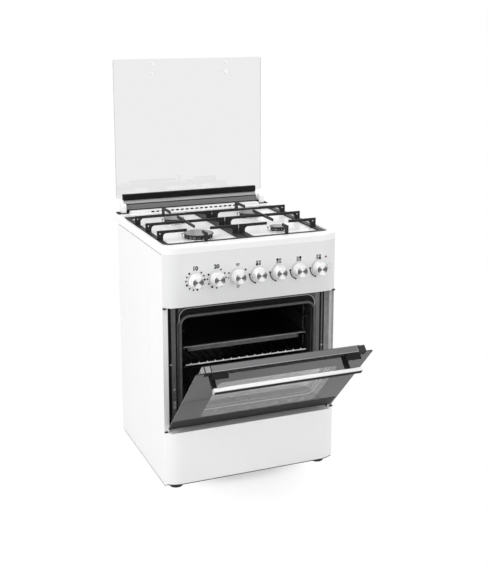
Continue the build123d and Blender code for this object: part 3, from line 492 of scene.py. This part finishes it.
dress("side_panel_left", white_side, 0.4)
dress("side_panel_right", white_side, 0.4)
dress("oven_front_frame", frame_black, 0.8)
dress("baking_tray", tray_lit_front, 0.4)
dress("hob_plate", white_hob, 0.9)
dress("control_panel", white_panel, 0.8)
dress("drawer_front", white_drawer, 0.8)
dress("pan_support_left", grate_enamel, 1.0)
dress("pan_support_right", grate_enamel, 1.0)
dress("lid_hinge_towers", white_hob, 1.2)
dress("lid_bumpers", silicone, 1.0)
dress("levelling_feet", foot_rubber, 2.5, 4)
dress("door_inner_frame", frame_black, 0.6)
dress("door_top_profile", profile_metal, 0.7)
dress("door_end_caps", end_caps_lit_and_shaded, 0.8)
dress("handle_brackets", black_plastic, 1.0, 3)
dress("handle_bar", handle_metal, 0.8)
dress("ignition_button", knob_white, 0.4)
for glass in (dress("lid_glass", lid_pane, 0.8), dress("door_outer_glass", door_pane, 0.8),
              dress("door_inner_glass", inner_pane, 0.5)):
    glass.visible_shadow = False
dress("rear_panel", zinc, 0.3)
dress("mains_terminal_box", black_plastic, 1.5, 3)
dress("gas_inlet", turned_brass, 0.5)
dress("lid_hinge_profile", hinge_bands_with_shadow_line, 0.5)

# Knobs

KNOB_X = {"timer_knob": -197.0, "knob_oven": -125.7, "knob_grill": -54.4, "knob_front_left": 16.9,
          "knob_rear_left": 88.2, "knob_rear_right": 159.5, "knob_front_right": 230.8}
KNOB_Z = 699.0
KNOB_BACK = -24.0
KNOB_PROFILE = [(0, 0), (23.2, 0), (24.2, 0.9), (24.2, 2.6), (23.4, 3.4), (21.0, 4.6), (20.4, 6.0),
                (19.6, 21.5), (19.4, 24.4), (18.8, 25.6), (18.1, 26.0), (17.7, 25.7), (17.5, 25.1), (0, 25.1)]
DISC_RADIUS = 17.6 * MM


def disc_metal():
    """Face turned on a lathe: fine rings in relief, and bright and dark fans painted into the colour as the
    highlight and dark reflection of a brushed disc.
    """
    mat = finish("knob_disc", (0.6, 0.6, 0.61), 0.32, 1.0)
    uv = add(mat, "UVMap", uv_map="dial")
    split = add(mat, "SeparateXYZ")
    wire(mat, uv.outputs["UV"], split.inputs["Vector"])
    turn = add(mat, "Math", operation="MULTIPLY")
    turn.inputs[1].default_value = 2 * math.tau
    wire(mat, split.outputs["X"], turn.inputs[0])
    glint_fans = add(mat, "Math", operation="COSINE")
    wire(mat, turn.outputs["Value"], glint_fans.inputs[0])
    tone = ramp(mat, spread(mat, glint_fans.outputs["Value"], 0, 1, -1, 1),
                [(0.3, (0.9, 0.9, 0.9)), (0.6, (0.42, 0.42, 0.425)), (0.92, (0.13, 0.13, 0.134))])
    wire(mat, tone, shader_of(mat).inputs["Base Color"])
    rings = add(mat, "Math", operation="SINE")
    count = add(mat, "Math", operation="MULTIPLY")
    count.inputs[1].default_value = 160.0
    wire(mat, split.outputs["Y"], count.inputs[0])
    wire(mat, count.outputs["Value"], rings.inputs[0])
    relief(mat, rings.outputs["Value"], 0.15, 0.0002)
    return mat


knob_disc = disc_metal()

for knob, x in KNOB_X.items():
    bm = turned(KNOB_PROFILE, 64, "Y")
    dial = bm.loops.layers.uv.new("dial")
    for face in bm.faces:
        middle = face.calc_center_median()
        way = math.atan2(middle.z, middle.x)
        for loop in face.loops:
            spot = loop.vert.co
            radius = math.hypot(spot.x, spot.z)
            angle = way if radius < 1e-6 else math.atan2(spot.z, spot.x)
            while angle - way > math.pi:
                angle -= math.tau
            while angle - way < -math.pi:
                angle += math.tau
            loop[dial].uv = (angle / math.tau, radius / DISC_RADIUS)
        if math.hypot(middle.x, middle.z) < DISC_RADIUS and middle.y < -20 * MM:
            face.material_index = 1
    moved(bm, at(x, KNOB_BACK, KNOB_Z))
    piece(f"{knob}_finished", bm, node_body[knob], [knob_white, knob_disc], (knob,))
    mark = block_piece((-0.0007, -0.0004, 0.0165), (0.0007, 0.0002, 0.0215), 0.15, 1)
    moved(mark, at(x, KNOB_BACK - 4.3, KNOB_Z))
    piece(f"{knob}_pointer", mark, node_body[knob], print_ink)

# Burners: slotted crowns and dished caps, with painted shade in the slots, on the crown's wall, on lines
# round it and on the cap's rim

BURNERS = {"front_left": (-140.0, 107.0, 49.0), "rear_left": (-140.0, 358.0, 36.0),
           "front_right": (140.0, 107.0, 27.0), "rear_right": (140.0, 358.0, 36.0)}
WELL = 804.0
# Near black painted shade for the flame slots, the lines round the crowns and the plate behind the steam
# slots.
slot_shade = moulded("slot_and_groove_shade", (0.008, 0.008, 0.008), 0.8, 0.3, 0.1)
# Near black painted shade on the rim and underside of each cap.
cap_rim_shade = enamel("burner_cap_rim_shade", (0.014, 0.014, 0.015), 0.35, 0.08, 0.2)
# A dark copy of the burner aluminium for the crown's wall between the slots: painted dark reflection.
crown_wall_shade = drawn_metal("burner_crown_wall_shade", (0.17, 0.17, 0.172), 0.34, (40, 40, 600), 0.08, 0.1)
CROWN_INSET = 6.0
CROWN_STEPS = 72
# Heights of the painted shadow lines: at the foot of the flange, in the groove above it and under the cap.
SHADOW_LINE_HEIGHTS = ((0.2, 0.8), (3.3, 4.4), (11.55, 13.5))
SLOT_HEIGHTS = (6.0, 10.5)
SLOT_RIM = 0.7
SLOT_DEPTH = 3.0
CAP_RIM_WIDTH = 2.6
CAP_RIM_HEIGHT = 14.5
SHADE_FACES, WALL_FACES = 1, 2


def crown_profile(r):
    """Flange, groove, slotted wall and seat for the cap."""
    return [(0, 0), (r + 4.6, 0), (r + 4.6, 0.9), (r + 4.6, 2.2), (r + 4.0, 2.8), (r + 1.2, 3.2),
            (r - 0.8, 3.2), (r - 0.8, 4.4), (r, 4.8), (r, 11.0), (r - 0.6, 11.5), (r - 2.0, 11.6),
            (r - 2.0, 13.6), (0, 13.6)]


def cap_profile(r):
    """A shallow dish on top with a rounded rim."""
    return [(0, 16.6), (r * 0.5, 16.7), (r * 0.8, 17.2), (r - 4.6, 17.9), (r - 2.8, 17.9), (r - 0.4, 17.2),
            (r, 16.2), (r - 0.4, 15.0), (r - 1.4, 14.2), (0, 13.7)]


def faces_between(bm, low, high):
    """Faces whose middle lies between two heights in millimetres."""
    return [f for f in bm.faces if low * MM < f.calc_center_median().z < high * MM]


def way_round(face):
    middle = face.calc_center_median()
    return math.atan2(middle.y, middle.x)


crowns = []
caps = []
for x, y, cap in BURNERS.values():
    crown = turned(crown_profile(cap - CROWN_INSET), CROWN_STEPS)
    shadow_lines = [f for low, high in SHADOW_LINE_HEIGHTS for f in faces_between(crown, low, high)]
    band = sorted(faces_between(crown, *SLOT_HEIGHTS), key=way_round)
    for face in band:
        face.material_index = WALL_FACES
    slots = band[::4 if cap > 30 else 6]
    bmesh.ops.inset_individual(crown, faces=slots, thickness=SLOT_RIM * MM, depth=0.0)
    sunk = bmesh.ops.inset_individual(crown, faces=slots, thickness=0.1 * MM, depth=-SLOT_DEPTH * MM)
    for face in shadow_lines + slots + sunk["faces"]:
        face.material_index = SHADE_FACES
    crowns.append(moved(crown, at(x, y, WELL)))
    top = turned(cap_profile(cap), CROWN_STEPS)
    # Rim and underside faces take the cap's painted shade.
    for face in top.faces:
        middle = face.calc_center_median()
        if math.hypot(middle.x, middle.y) > (cap - CAP_RIM_WIDTH) * MM or middle.z < CAP_RIM_HEIGHT * MM:
            face.material_index = 1
    caps.append(moved(top, at(x, y, WELL)))
piece("burner_crowns", merge(crowns), "cabinet", [crown_metal, slot_shade, crown_wall_shade],
      ("burner_bodies",))
piece("burner_caps_finished", merge(caps), "cabinet", [cap_enamel, cap_rim_shade], ("burner_caps",))

# Marks printed on the control panel

PANEL_Y = -20.0
INK = 0.2


def dot(x, z, radius, hole=0.0):
    """A round printed spot, or a ring if it has a hole."""
    if hole:
        bm = turned([(hole, 0), (radius, 0), (radius, INK), (hole, INK), (hole, 0)], 20, "Y")
    else:
        bm = turned([(0, 0), (radius, 0), (radius, INK), (0, INK)], 16, "Y")
    return moved(bm, at(x, PANEL_Y, z))


def stroke(x0, x1, z0, z1):
    bm = bmesh.new()
    slab(bm, at(x0, PANEL_Y - INK, z0), at(x1, PANEL_Y, z1))
    return bm


def arc(x, z, radius, start, end, wide):
    """A printed arc between two ways, in degrees anticlockwise from three o'clock."""
    bm = bmesh.new()
    first = math.radians(start)
    inner = radius - wide / 2
    outer = radius + wide / 2
    low = [bm.verts.new((r * MM * math.cos(first), -d * MM, r * MM * math.sin(first)))
           for r, d in ((inner, 0), (outer, 0), (outer, INK), (inner, INK))]
    face = bm.faces.new(low)
    turn = math.radians(end - start)
    bmesh.ops.spin(bm, geom=[face, *face.edges, *face.verts], cent=(0, 0, 0), axis=(0, -1, 0), angle=turn,
                   steps=18, use_merge=False)
    return moved(bm, at(x, PANEL_Y, z))


def burner_sign(x, z, which):
    """Four small spots in a square, the burner's own one filled."""
    spots = []
    for i, (dx, dz) in enumerate(((-4.6, 4.2), (4.6, 4.2), (-4.6, -4.2), (4.6, -4.2))):
        spots.append(dot(x + dx, z + dz, 4.6 if i == which else 3.9, 0.0 if i == which else 1.6))
    return spots


def number(word, x, z, size):
    """A number as a flat mesh on the panel."""
    text = bpy.data.curves.new(f"number_{word}", "FONT")
    text.body = word
    text.size = size * MM
    text.align_x = "CENTER"
    text.align_y = "CENTER"
    text.extrude = INK * MM / 2
    text.offset = 0.9 * MM
    holder = bpy.data.objects.new("scrap_number", text)
    scene.collection.objects.link(holder)
    bpy.context.view_layer.update()
    mesh = bpy.data.meshes.new_from_object(holder.evaluated_get(bpy.context.evaluated_depsgraph_get()))
    bm = bmesh.new()
    bm.from_mesh(mesh)
    bmesh.ops.remove_doubles(bm, verts=bm.verts, dist=1e-6)
    bpy.data.objects.remove(holder)
    bpy.data.meshes.remove(mesh)
    bmesh.ops.rotate(bm, cent=(0, 0, 0), matrix=Matrix.Rotation(math.radians(90), 3, "X"), verts=bm.verts)
    return moved(bm, at(x, PANEL_Y - INK / 2, z))


NUMBER_RISE = 38.0
NUMBER_SIZE = 18.0
DOT_RING = 31.0
SIGN_RISE = 36.5
ARC_RING = 30.5
DOTS = {"timer_knob": (25, 50, 130, 155, 180, 205, 232, 258, 282, 308, 335, 0),
        "knob_oven": (28, 62, 152, 180, 210, 240, 270, 300, 330, 0)}
GRILL_STROKES = ((-6.5, 6.5, 39, 41.4), (-5, -3, 34, 39), (-1, 1, 31.5, 39), (3, 5, 34, 39))
GRILL_DOTS = ((27, 19, 3.4, 0.0), (-30, 13, 3.0, 0.0), (-32, -2, 2.2, 0.0), (1, -33.5, 4.8, 2.8))
FILLED_SPOT = {"knob_rear_left": 0, "knob_front_left": 2, "knob_rear_right": 1, "knob_front_right": 3}

ink = [number(word, KNOB_X[knob], KNOB_Z + NUMBER_RISE, NUMBER_SIZE)
       for word, knob in (("10", "timer_knob"), ("20", "knob_oven"))]
for knob, ways in DOTS.items():
    for i, degrees in enumerate(ways):
        x, z = on_ring(KNOB_X[knob], KNOB_Z, DOT_RING, degrees)
        ink.append(dot(x, z, 3.6 if i % 3 == 2 else 2.8))
grill_x = KNOB_X["knob_grill"]
for x0, x1, z0, z1 in GRILL_STROKES:
    ink.append(stroke(grill_x + x0, grill_x + x1, KNOB_Z + z0, KNOB_Z + z1))
for dx, dz, radius, hole in GRILL_DOTS:
    ink.append(dot(grill_x + dx, KNOB_Z + dz, radius, hole))
for knob, filled in FILLED_SPOT.items():
    ink += burner_sign(KNOB_X[knob], KNOB_Z + SIGN_RISE, filled)
    ink.append(arc(KNOB_X[knob], KNOB_Z, ARC_RING, 180, 246, 3.4))
    for degrees, radius in ((178, 3.6), (250, 2.8)):
        x, z = on_ring(KNOB_X[knob], KNOB_Z, ARC_RING, degrees)
        ink.append(dot(x, z, radius))
piece("panel_marks", merge(ink), "cabinet", print_ink)

BUTTON_X = 270.0
SPARK_RING = 9.5
FLAT_HALF = 248.0
BOW_RADIUS = 77.6
BOW_CENTRE_Y = 57.6


def bowed(x):
    """How far forward the bowed front of the panel and the drawer stands."""
    past = max(0.0, abs(x) - FLAT_HALF)
    return BOW_CENTRE_Y - math.sqrt(BOW_RADIUS ** 2 - past ** 2)


sparks = []
for degrees in (10, 70, 130, 190, 250, 310):
    x, z = on_ring(BUTTON_X, KNOB_Z, SPARK_RING, degrees)
    spark = turned([(0, 0), (1.7, 0), (1.7, 0.5), (1.4, 0.8), (0, 0.8)], 12, "Y")
    sparks.append(moved(spark, at(x, bowed(x) + 0.2, z)))
piece("button_marks", merge(sparks), "cabinet", grey_ink_and_rim_shadow)

# Hob: a dark plate painted as the shade behind the steam slots, and pads under the lid's towers

slot_shade_plate = block_piece(at(-243, 517.3, 812.5), at(243, 519.3, 819.6), 0.3, 2)
piece("steam_slot_shade", slot_shade_plate, "cabinet", slot_shade)
pads = side_pair((249.5, 289.0), (532, 569), (812, 815), 1.2)
piece("tower_pads", merge(pads), "cabinet", black_plastic)

# Door: dark print behind the glass with the window left clear, a pale line round the window, seams of the top
# profile, a painted shadow strip under it, painted highlights on its edges, a painted dark reflection on the
# handle bar's front and a painted reflection as a dark band at the foot of the glass


def pierced(outlines, y, thick):
    """A flat sheet seen from the front: a rounded outline and the rounded openings in it."""
    bm = bmesh.new()
    for x0, x1, z0, z1, corner in outlines:
        corners = [bm.verts.new(at(x, y, z)) for x, z in ((x0, z0), (x1, z0), (x1, z1), (x0, z1))]
        bm.faces.new(corners)
        bmesh.ops.bevel(bm, geom=corners, offset=corner * MM, offset_type="OFFSET", segments=8, profile=0.5,
                        affect="VERTICES", material=-1, clamp_overlap=True)
    bmesh.ops.delete(bm, geom=bm.faces[:], context="FACES_ONLY")
    bmesh.ops.triangle_fill(bm, edges=bm.edges[:], use_beauty=True)
    swept = bmesh.ops.extrude_face_region(bm, geom=bm.faces[:])
    back = [v for v in swept["geom"] if isinstance(v, bmesh.types.BMVert)]
    bmesh.ops.translate(bm, verts=back, vec=(0.0, thick * MM, 0.0))
    return bm


def on_door(bm):
    bmesh.ops.transform(bm, matrix=TO_DOOR, verts=bm.verts)
    return bm


PRINT = (-290.5, 290.5, 223.5, 612.5, 4.0)
WINDOW = (-200.0, 200.0, 288.0, 534.0, 18.0)
LINE_OUTER = (-197.5, 197.5, 290.5, 531.5, 22.0)
LINE_INNER = (-194.8, 194.8, 293.2, 528.8, 20.0)
door_ink = moulded("door_print", (0.005, 0.005, 0.0052), 0.9, 0.02, 0.0)
piece("door_print", on_door(pierced([PRINT, WINDOW], -18.5, 0.3)), "door", door_ink)
pale_line = moulded("window_line", (0.8, 0.8, 0.8), 0.4, 0.02)
piece("window_line", on_door(pierced([LINE_OUTER, LINE_INNER], 2.0, 0.4)), "door", pale_line)
seams_and_shadow_strip = [block_piece(at(x - wide / 2, -18.2, 606.5), at(x + wide / 2, 2.2, 613.3), 0.2, 1)
         for x, wide in ((-261.7, 3.4), (-242.0, 3.0))]
# A black strip on the glass under the profile's front edge: painted shadow under its overhang.
seams_and_shadow_strip.append(block_piece(at(-266, -22.6, 597.0), at(266, -21.9, 612.6), 0.25, 1))
piece("profile_seams_and_shadow", on_door(merge(seams_and_shadow_strip)), "door", black_plastic)
# Pale strips on the profile's front edge and at the right cap's seam: painted highlights.
profile_highlight_metal = drawn_metal("profile_painted_highlight", (0.42, 0.42, 0.425), 0.4, (5, 900, 900), 0.06, 0.05)
edges = [block_piece(at(-242, -18.6, 612.6), at(242, -17.2, 613.4), 0.25, 2),
         block_piece(at(240.2, -18.2, 606.8), at(241.9, 2.3, 613.5), 0.25, 2)]
piece("profile_edge_highlights", on_door(merge(edges)), "door", profile_highlight_metal)
# A black strip on the handle bar's front face: painted dark reflection on the face that looks down.
handle_front_shade = block_piece(at(-243, -75.0, 577.0), at(243, -73.6, 592.6), 0.6, 2)
piece("handle_front_painted_reflection", on_door(handle_front_shade), "door", black_plastic)
# A dark band over the foot of the glass: painted reflection of the shaded drawer front below the door.
foot_reflection_black = moulded("door_foot_painted_reflection", (0.014, 0.014, 0.0143), 0.5, 0.06, 0.16)
foot_reflection_band = block_piece(at(-290.6, -22.35, 224.2), at(284, -21.9, 284), 0.15, 2)
piece("door_foot_painted_reflection", on_door(foot_reflection_band), "door", foot_reflection_black)

# Oven mouth: a black lining inside the bead, the bead in pale grey as a painted highlight, upright steps of
# the frame in tones of painted shade and highlight, and the hinge catches

CAVITY = (-228.5, 228.5, 239.5, 566.5, 22.0)
LINING_EDGE = (-239.0, 239.0, 226.0, 599.0, 31.0)
BEAD_OUTER = (-240.0, 240.0, 225.0, 600.0, 32.0)
BEAD_INNER = (-237.4, 237.4, 227.6, 597.4, 29.4)
lining_and_shade_black = moulded("mouth_lining", (0.006, 0.006, 0.0062), 0.5, 0.1, 0.15)
piece("mouth_lining", pierced([LINING_EDGE, CAVITY], 20.9, 0.4), "cabinet", lining_and_shade_black)
# The bead is a pale grey ring: painted highlight round the opening.
bead_highlight_grey = moulded("oven_bead_highlight", (0.42, 0.42, 0.425), 0.3, 0.05)
bead = pierced([BEAD_OUTER, BEAD_INNER], 20.3, 1.2)
soften(bead, 0.35, 2)
piece("oven_bead_highlight", bead, "cabinet", bead_highlight_grey)
step_metal = moulded("frame_step", (0.15, 0.15, 0.153), 0.35, 0.05)
frame_highlight_grey = moulded("frame_painted_highlight", (0.56, 0.56, 0.564), 0.35, 0.05)
# Strip tones differ left and right: the dark strips are painted shade, the pale one a painted highlight.
for tone, mat, spans in (("dark", lining_and_shade_black, ((-298, -266), (-250, -241), (259.5, 264.5), (271.5, 275.5))),
                         ("mid", step_metal, ((-265, -250), (241, 259), (265, 271))),
                         ("light", frame_highlight_grey, ((276, 297),))):
    steps = [block_piece(at(x0 + 0.2, 23.4, 206), at(x1 - 0.2, 25.2, 612), 0.5, 2) for x0, x1 in spans]
    piece(f"frame_steps_{tone}", merge(steps), "cabinet", mat)
CATCH = [(0, 0), (3.4, 0), (3.4, 1.0), (2.8, 1.8), (1.5, 2.1), (0, 2.1)]
LOOP_X = 257.0
catch_zinc = moulded("catch_zinc", (0.55, 0.55, 0.55), 0.3, 0.04)
catches = []
for side in (-1, 1):
    for x, z in ((LOOP_X, 331), (268, 416)):
        catches.append(moved(turned(CATCH, 16, "Y"), at(side * x, 23.4, z)))
    x = side * LOOP_X
    catches.append(pierced([(x - 4, x + 4, 266, 291, 3.6), (x - 1.7, x + 1.7, 270, 287, 1.4)], 22.2, 1.2))
piece("hinge_catches", merge(catches), "cabinet", catch_zinc)

# Rack and tray: a painted highlight as the bright front wire with the ends of the cross wires, and another
# along the edge of the tray's rim

WIRE_RADIUS = 1.9
WIRE_PITCH = 28.0
# Pale and not metal: painted highlight on the rack's front wire and the ends of its cross wires.
rack_front_highlight = moulded("rack_front_painted_highlight", (0.9, 0.9, 0.9), 0.3, 0.03)
wires = rod(at(0, 34.0, 404.2), 428, WIRE_RADIUS, 16)
for i in range(-7, 8):
    end = Matrix.Translation(at(WIRE_PITCH * i, 34.5, 407)) @ Matrix.Diagonal((1, 1, 1.5, 1))
    bmesh.ops.create_uvsphere(wires, u_segments=10, v_segments=8, radius=WIRE_RADIUS * MM, matrix=end)
piece("rack_front_wire", wires, "rack", rack_front_highlight)
# Pale grey painted highlight along the tray's rim.
tray_rim_highlight = moulded("tray_rim_painted_highlight", (0.42, 0.42, 0.425), 0.35, 0.05)
piece("tray_rim_edge", rod(at(0, 46.4, 460.4), 434, 1.2, 12), "tray", tray_rim_highlight)

# Near-black blocks painted as the shadow in the gaps where the panel and the drawer meet the sides

gap_shadow_bars = []
for y0, z_span in ((-9.0, (610.8, 615.6)), (-6.0, (199.4, 203.4))):
    gap_shadow_bars += side_pair((289.0, 300.3), (y0, 0.2), z_span, 0.8, 2)
piece("corner_gap_shadows", merge(gap_shadow_bars), "cabinet", seal_rubber)

# Grey strips painted as shade on the front edge of the right side; the left edge stays white

shaded_fold_light = moulded("right_fold_shade_light", (0.46, 0.46, 0.463), 0.4, 0.04)
shaded_fold_deep = moulded("right_fold_shade_deep", (0.3, 0.3, 0.303), 0.4, 0.04)
for tone, mat, x0, x1 in (("inner", shaded_fold_light, 282.3, 292.0), ("outer", shaded_fold_deep, 292.0, 299.4)):
    strip = block_piece(at(x0, -0.4, 203.6), at(x1, 0.1, 610.6), 0.15, 2)
    piece(f"right_fold_shade_{tone}", strip, "cabinet", mat)

# Side panels: two upright creases on each

creases = []
for y in (149, 446):
    creases += side_pair((299.4, 300.5), (y - 2.2, y + 2.2), (40, 770), 0.45, 2)
piece("side_creases", merge(creases), "cabinet", white_side)

# A fine grey line painted as the shadow under the rim of the hob

rim_shadow_bars = side_pair((298.5, 300.25), (2, 490), (784.6, 787.8), 0.2, 1)
piece("hob_rim_shadows", merge(rim_shadow_bars), "cabinet", grey_ink_and_rim_shadow)

# Near-black strips painted as the shadow along the foot of the sides and of the drawer

foot_shadow_bars = side_pair((296.5, 299.8), (3, 488), (12.4, 15.2), 0.4, 2)
piece("side_foot_shadow", merge(foot_shadow_bars), "cabinet", seal_rubber)

SHADE_HALF_WIDTH = 294.0
SHADE_STEPS = 66
drawer_foot_shade = bmesh.new()
across = [SHADE_HALF_WIDTH * (2 * i / SHADE_STEPS - 1) for i in range(SHADE_STEPS + 1)]
rows = [[drawer_foot_shade.verts.new(at(x, bowed(x) + inward, z)) for x in across]
        for inward, z in ((0.3, 18.8), (0.3, 22.2), (3.0, 22.2), (3.0, 18.8))]
for this, after in zip(rows, rows[1:] + rows[:1]):
    for i in range(SHADE_STEPS):
        drawer_foot_shade.faces.new((this[i], this[i + 1], after[i + 1], after[i]))
for i in (0, SHADE_STEPS):
    drawer_foot_shade.faces.new([row[i] for row in rows])
piece("drawer_foot_shadow", drawer_foot_shade, "drawer", seal_rubber)

# Back: screws along the edges of the rear panel

SCREW = [(0, 0), (4.0, 0), (4.0, 0.8), (3.4, 1.7), (2.1, 2.2), (1.9, 1.0), (0, 0.9)]
REAR_Y = 492.0
places = [(x, z) for x in (-288, -96, 96, 288) for z in (30, 770)]
places += [(x, z) for z in (215, 400, 585) for x in (-288, 288)]
heads = []
for x, z in places:
    head = moved(turned(SCREW, 12, "Y"), at(x, REAR_Y, z))
    bmesh.ops.rotate(head, cent=at(0, REAR_Y, 0), matrix=Matrix.Rotation(math.pi, 3, "Z"), verts=head.verts)
    heads.append(head)
piece("rear_screws", merge(heads), "cabinet", plain_steel)

# Stage, light and camera


SHADOW_REACH = (0.17, 0.34)
SHADOW_SHARE = 0.5


def seen_white(holder):
    """One for rays from the camera, off gloss and through glass, and nought for the rest."""
    path = add(holder, "LightPath")
    first = add(holder, "Math", operation="ADD", use_clamp=True)
    wire(holder, path.outputs["Is Camera Ray"], first.inputs[0])
    wire(holder, path.outputs["Is Glossy Ray"], first.inputs[1])
    second = add(holder, "Math", operation="ADD", use_clamp=True)
    wire(holder, first.outputs["Value"], second.inputs[0])
    wire(holder, path.outputs["Is Transmission Ray"], second.inputs[1])
    return second.outputs["Value"]


def white_ground():
    """Pale floor that keeps the shadow near the range and fades to white further out."""
    mat = finish("studio_floor", (0.93, 0.93, 0.93), 0.8, Specular_IOR_Level=0.1)
    glow = add(mat, "Emission")
    glow.inputs["Color"].default_value = (1.0, 1.0, 1.0, 1.0)
    away = add(mat, "VectorMath", operation="LENGTH")
    wire(mat, surface_place(mat, scale=(1.5, 1.0, 1.0)), away.inputs[0])
    share = add(mat, "Math", operation="MULTIPLY")
    wire(mat, spread(mat, away.outputs["Value"], SHADOW_SHARE, 1.0, *SHADOW_REACH), share.inputs[0])
    wire(mat, seen_white(mat), share.inputs[1])
    mix = add(mat, "MixShader")
    wire(mat, share.outputs["Value"], mix.inputs["Fac"])
    wire(mat, shader_of(mat).outputs["BSDF"], mix.inputs[1])
    wire(mat, glow.outputs["Emission"], mix.inputs[2])
    wire(mat, mix.outputs["Shader"], mat.node_tree.nodes["Material Output"].inputs["Surface"])
    return mat


floor_bm = bmesh.new()
bmesh.ops.create_grid(floor_bm, x_segments=1, y_segments=1, size=40.0)
floor_mesh = bpy.data.meshes.new("studio_floor")
floor_bm.to_mesh(floor_mesh)
floor_bm.free()
floor = bpy.data.objects.new("studio_floor", floor_mesh)
scene.collection.objects.link(floor)
floor_mesh.materials.append(white_ground())


def studio_world(light):
    """White to the camera, to gloss and through glass; a plain level of light for the rest."""
    world = bpy.data.worlds.new("studio")
    world.use_nodes = True
    scene.world = world
    mix = add(world, "MixShader")
    wire(world, seen_white(world), mix.inputs["Fac"])
    plain = world.node_tree.nodes["Background"]
    for i, (shade, strength) in enumerate(((plain, light), (add(world, "Background"), 1.0))):
        shade.inputs["Color"].default_value = (1.0, 1.0, 1.0, 1.0)
        shade.inputs["Strength"].default_value = strength
        wire(world, shade.outputs["Background"], mix.inputs[1 + i])
    wire(world, mix.outputs["Shader"], world.node_tree.nodes["World Output"].inputs["Surface"])


ROOM_LIGHT = 0.62
studio_world(ROOM_LIGHT)


def soft_box(name, place, aim, size, power, mirrored=True):
    """A lamp with a soft square face; mirrored says whether gloss and glass show it."""
    light = bpy.data.lights.new(name, "AREA")
    light.shape = "RECTANGLE"
    light.size, light.size_y = size
    light.energy = power
    obj = bpy.data.objects.new(name, light)
    obj.location = place
    obj.rotation_euler = (Vector(aim) - Vector(place)).to_track_quat("-Z", "Y").to_euler()
    obj.visible_glossy = mirrored
    obj.visible_transmission = mirrored
    scene.collection.objects.link(obj)


soft_box("key_left", (-3.0, -1.0, 2.0), (0, 0, 0.6), (2.4, 2.4), 45)
soft_box("fill_front", (1.6, -3.4, 1.6), (0, 0, 0.4), (2.0, 2.0), 26, False)
soft_box("top", (0.2, 0.1, 3.2), (0, 0.05, 0.8), (2.2, 2.2), 30)

camera_data = bpy.data.cameras.new("photo_camera")
camera_data.lens = 64.89
camera_data.sensor_width = 36.0
camera_data.shift_y = -0.10
CAMERA_DIP = 12.15
CAMERA_TURN = -22.25
camera = bpy.data.objects.new("photo_camera", camera_data)
camera.location = (-1.2154, -3.0523, 1.5348)
camera.rotation_euler = (math.radians(90.0 - CAMERA_DIP), 0.0, math.radians(CAMERA_TURN))
scene.collection.objects.link(camera)
scene.camera = camera
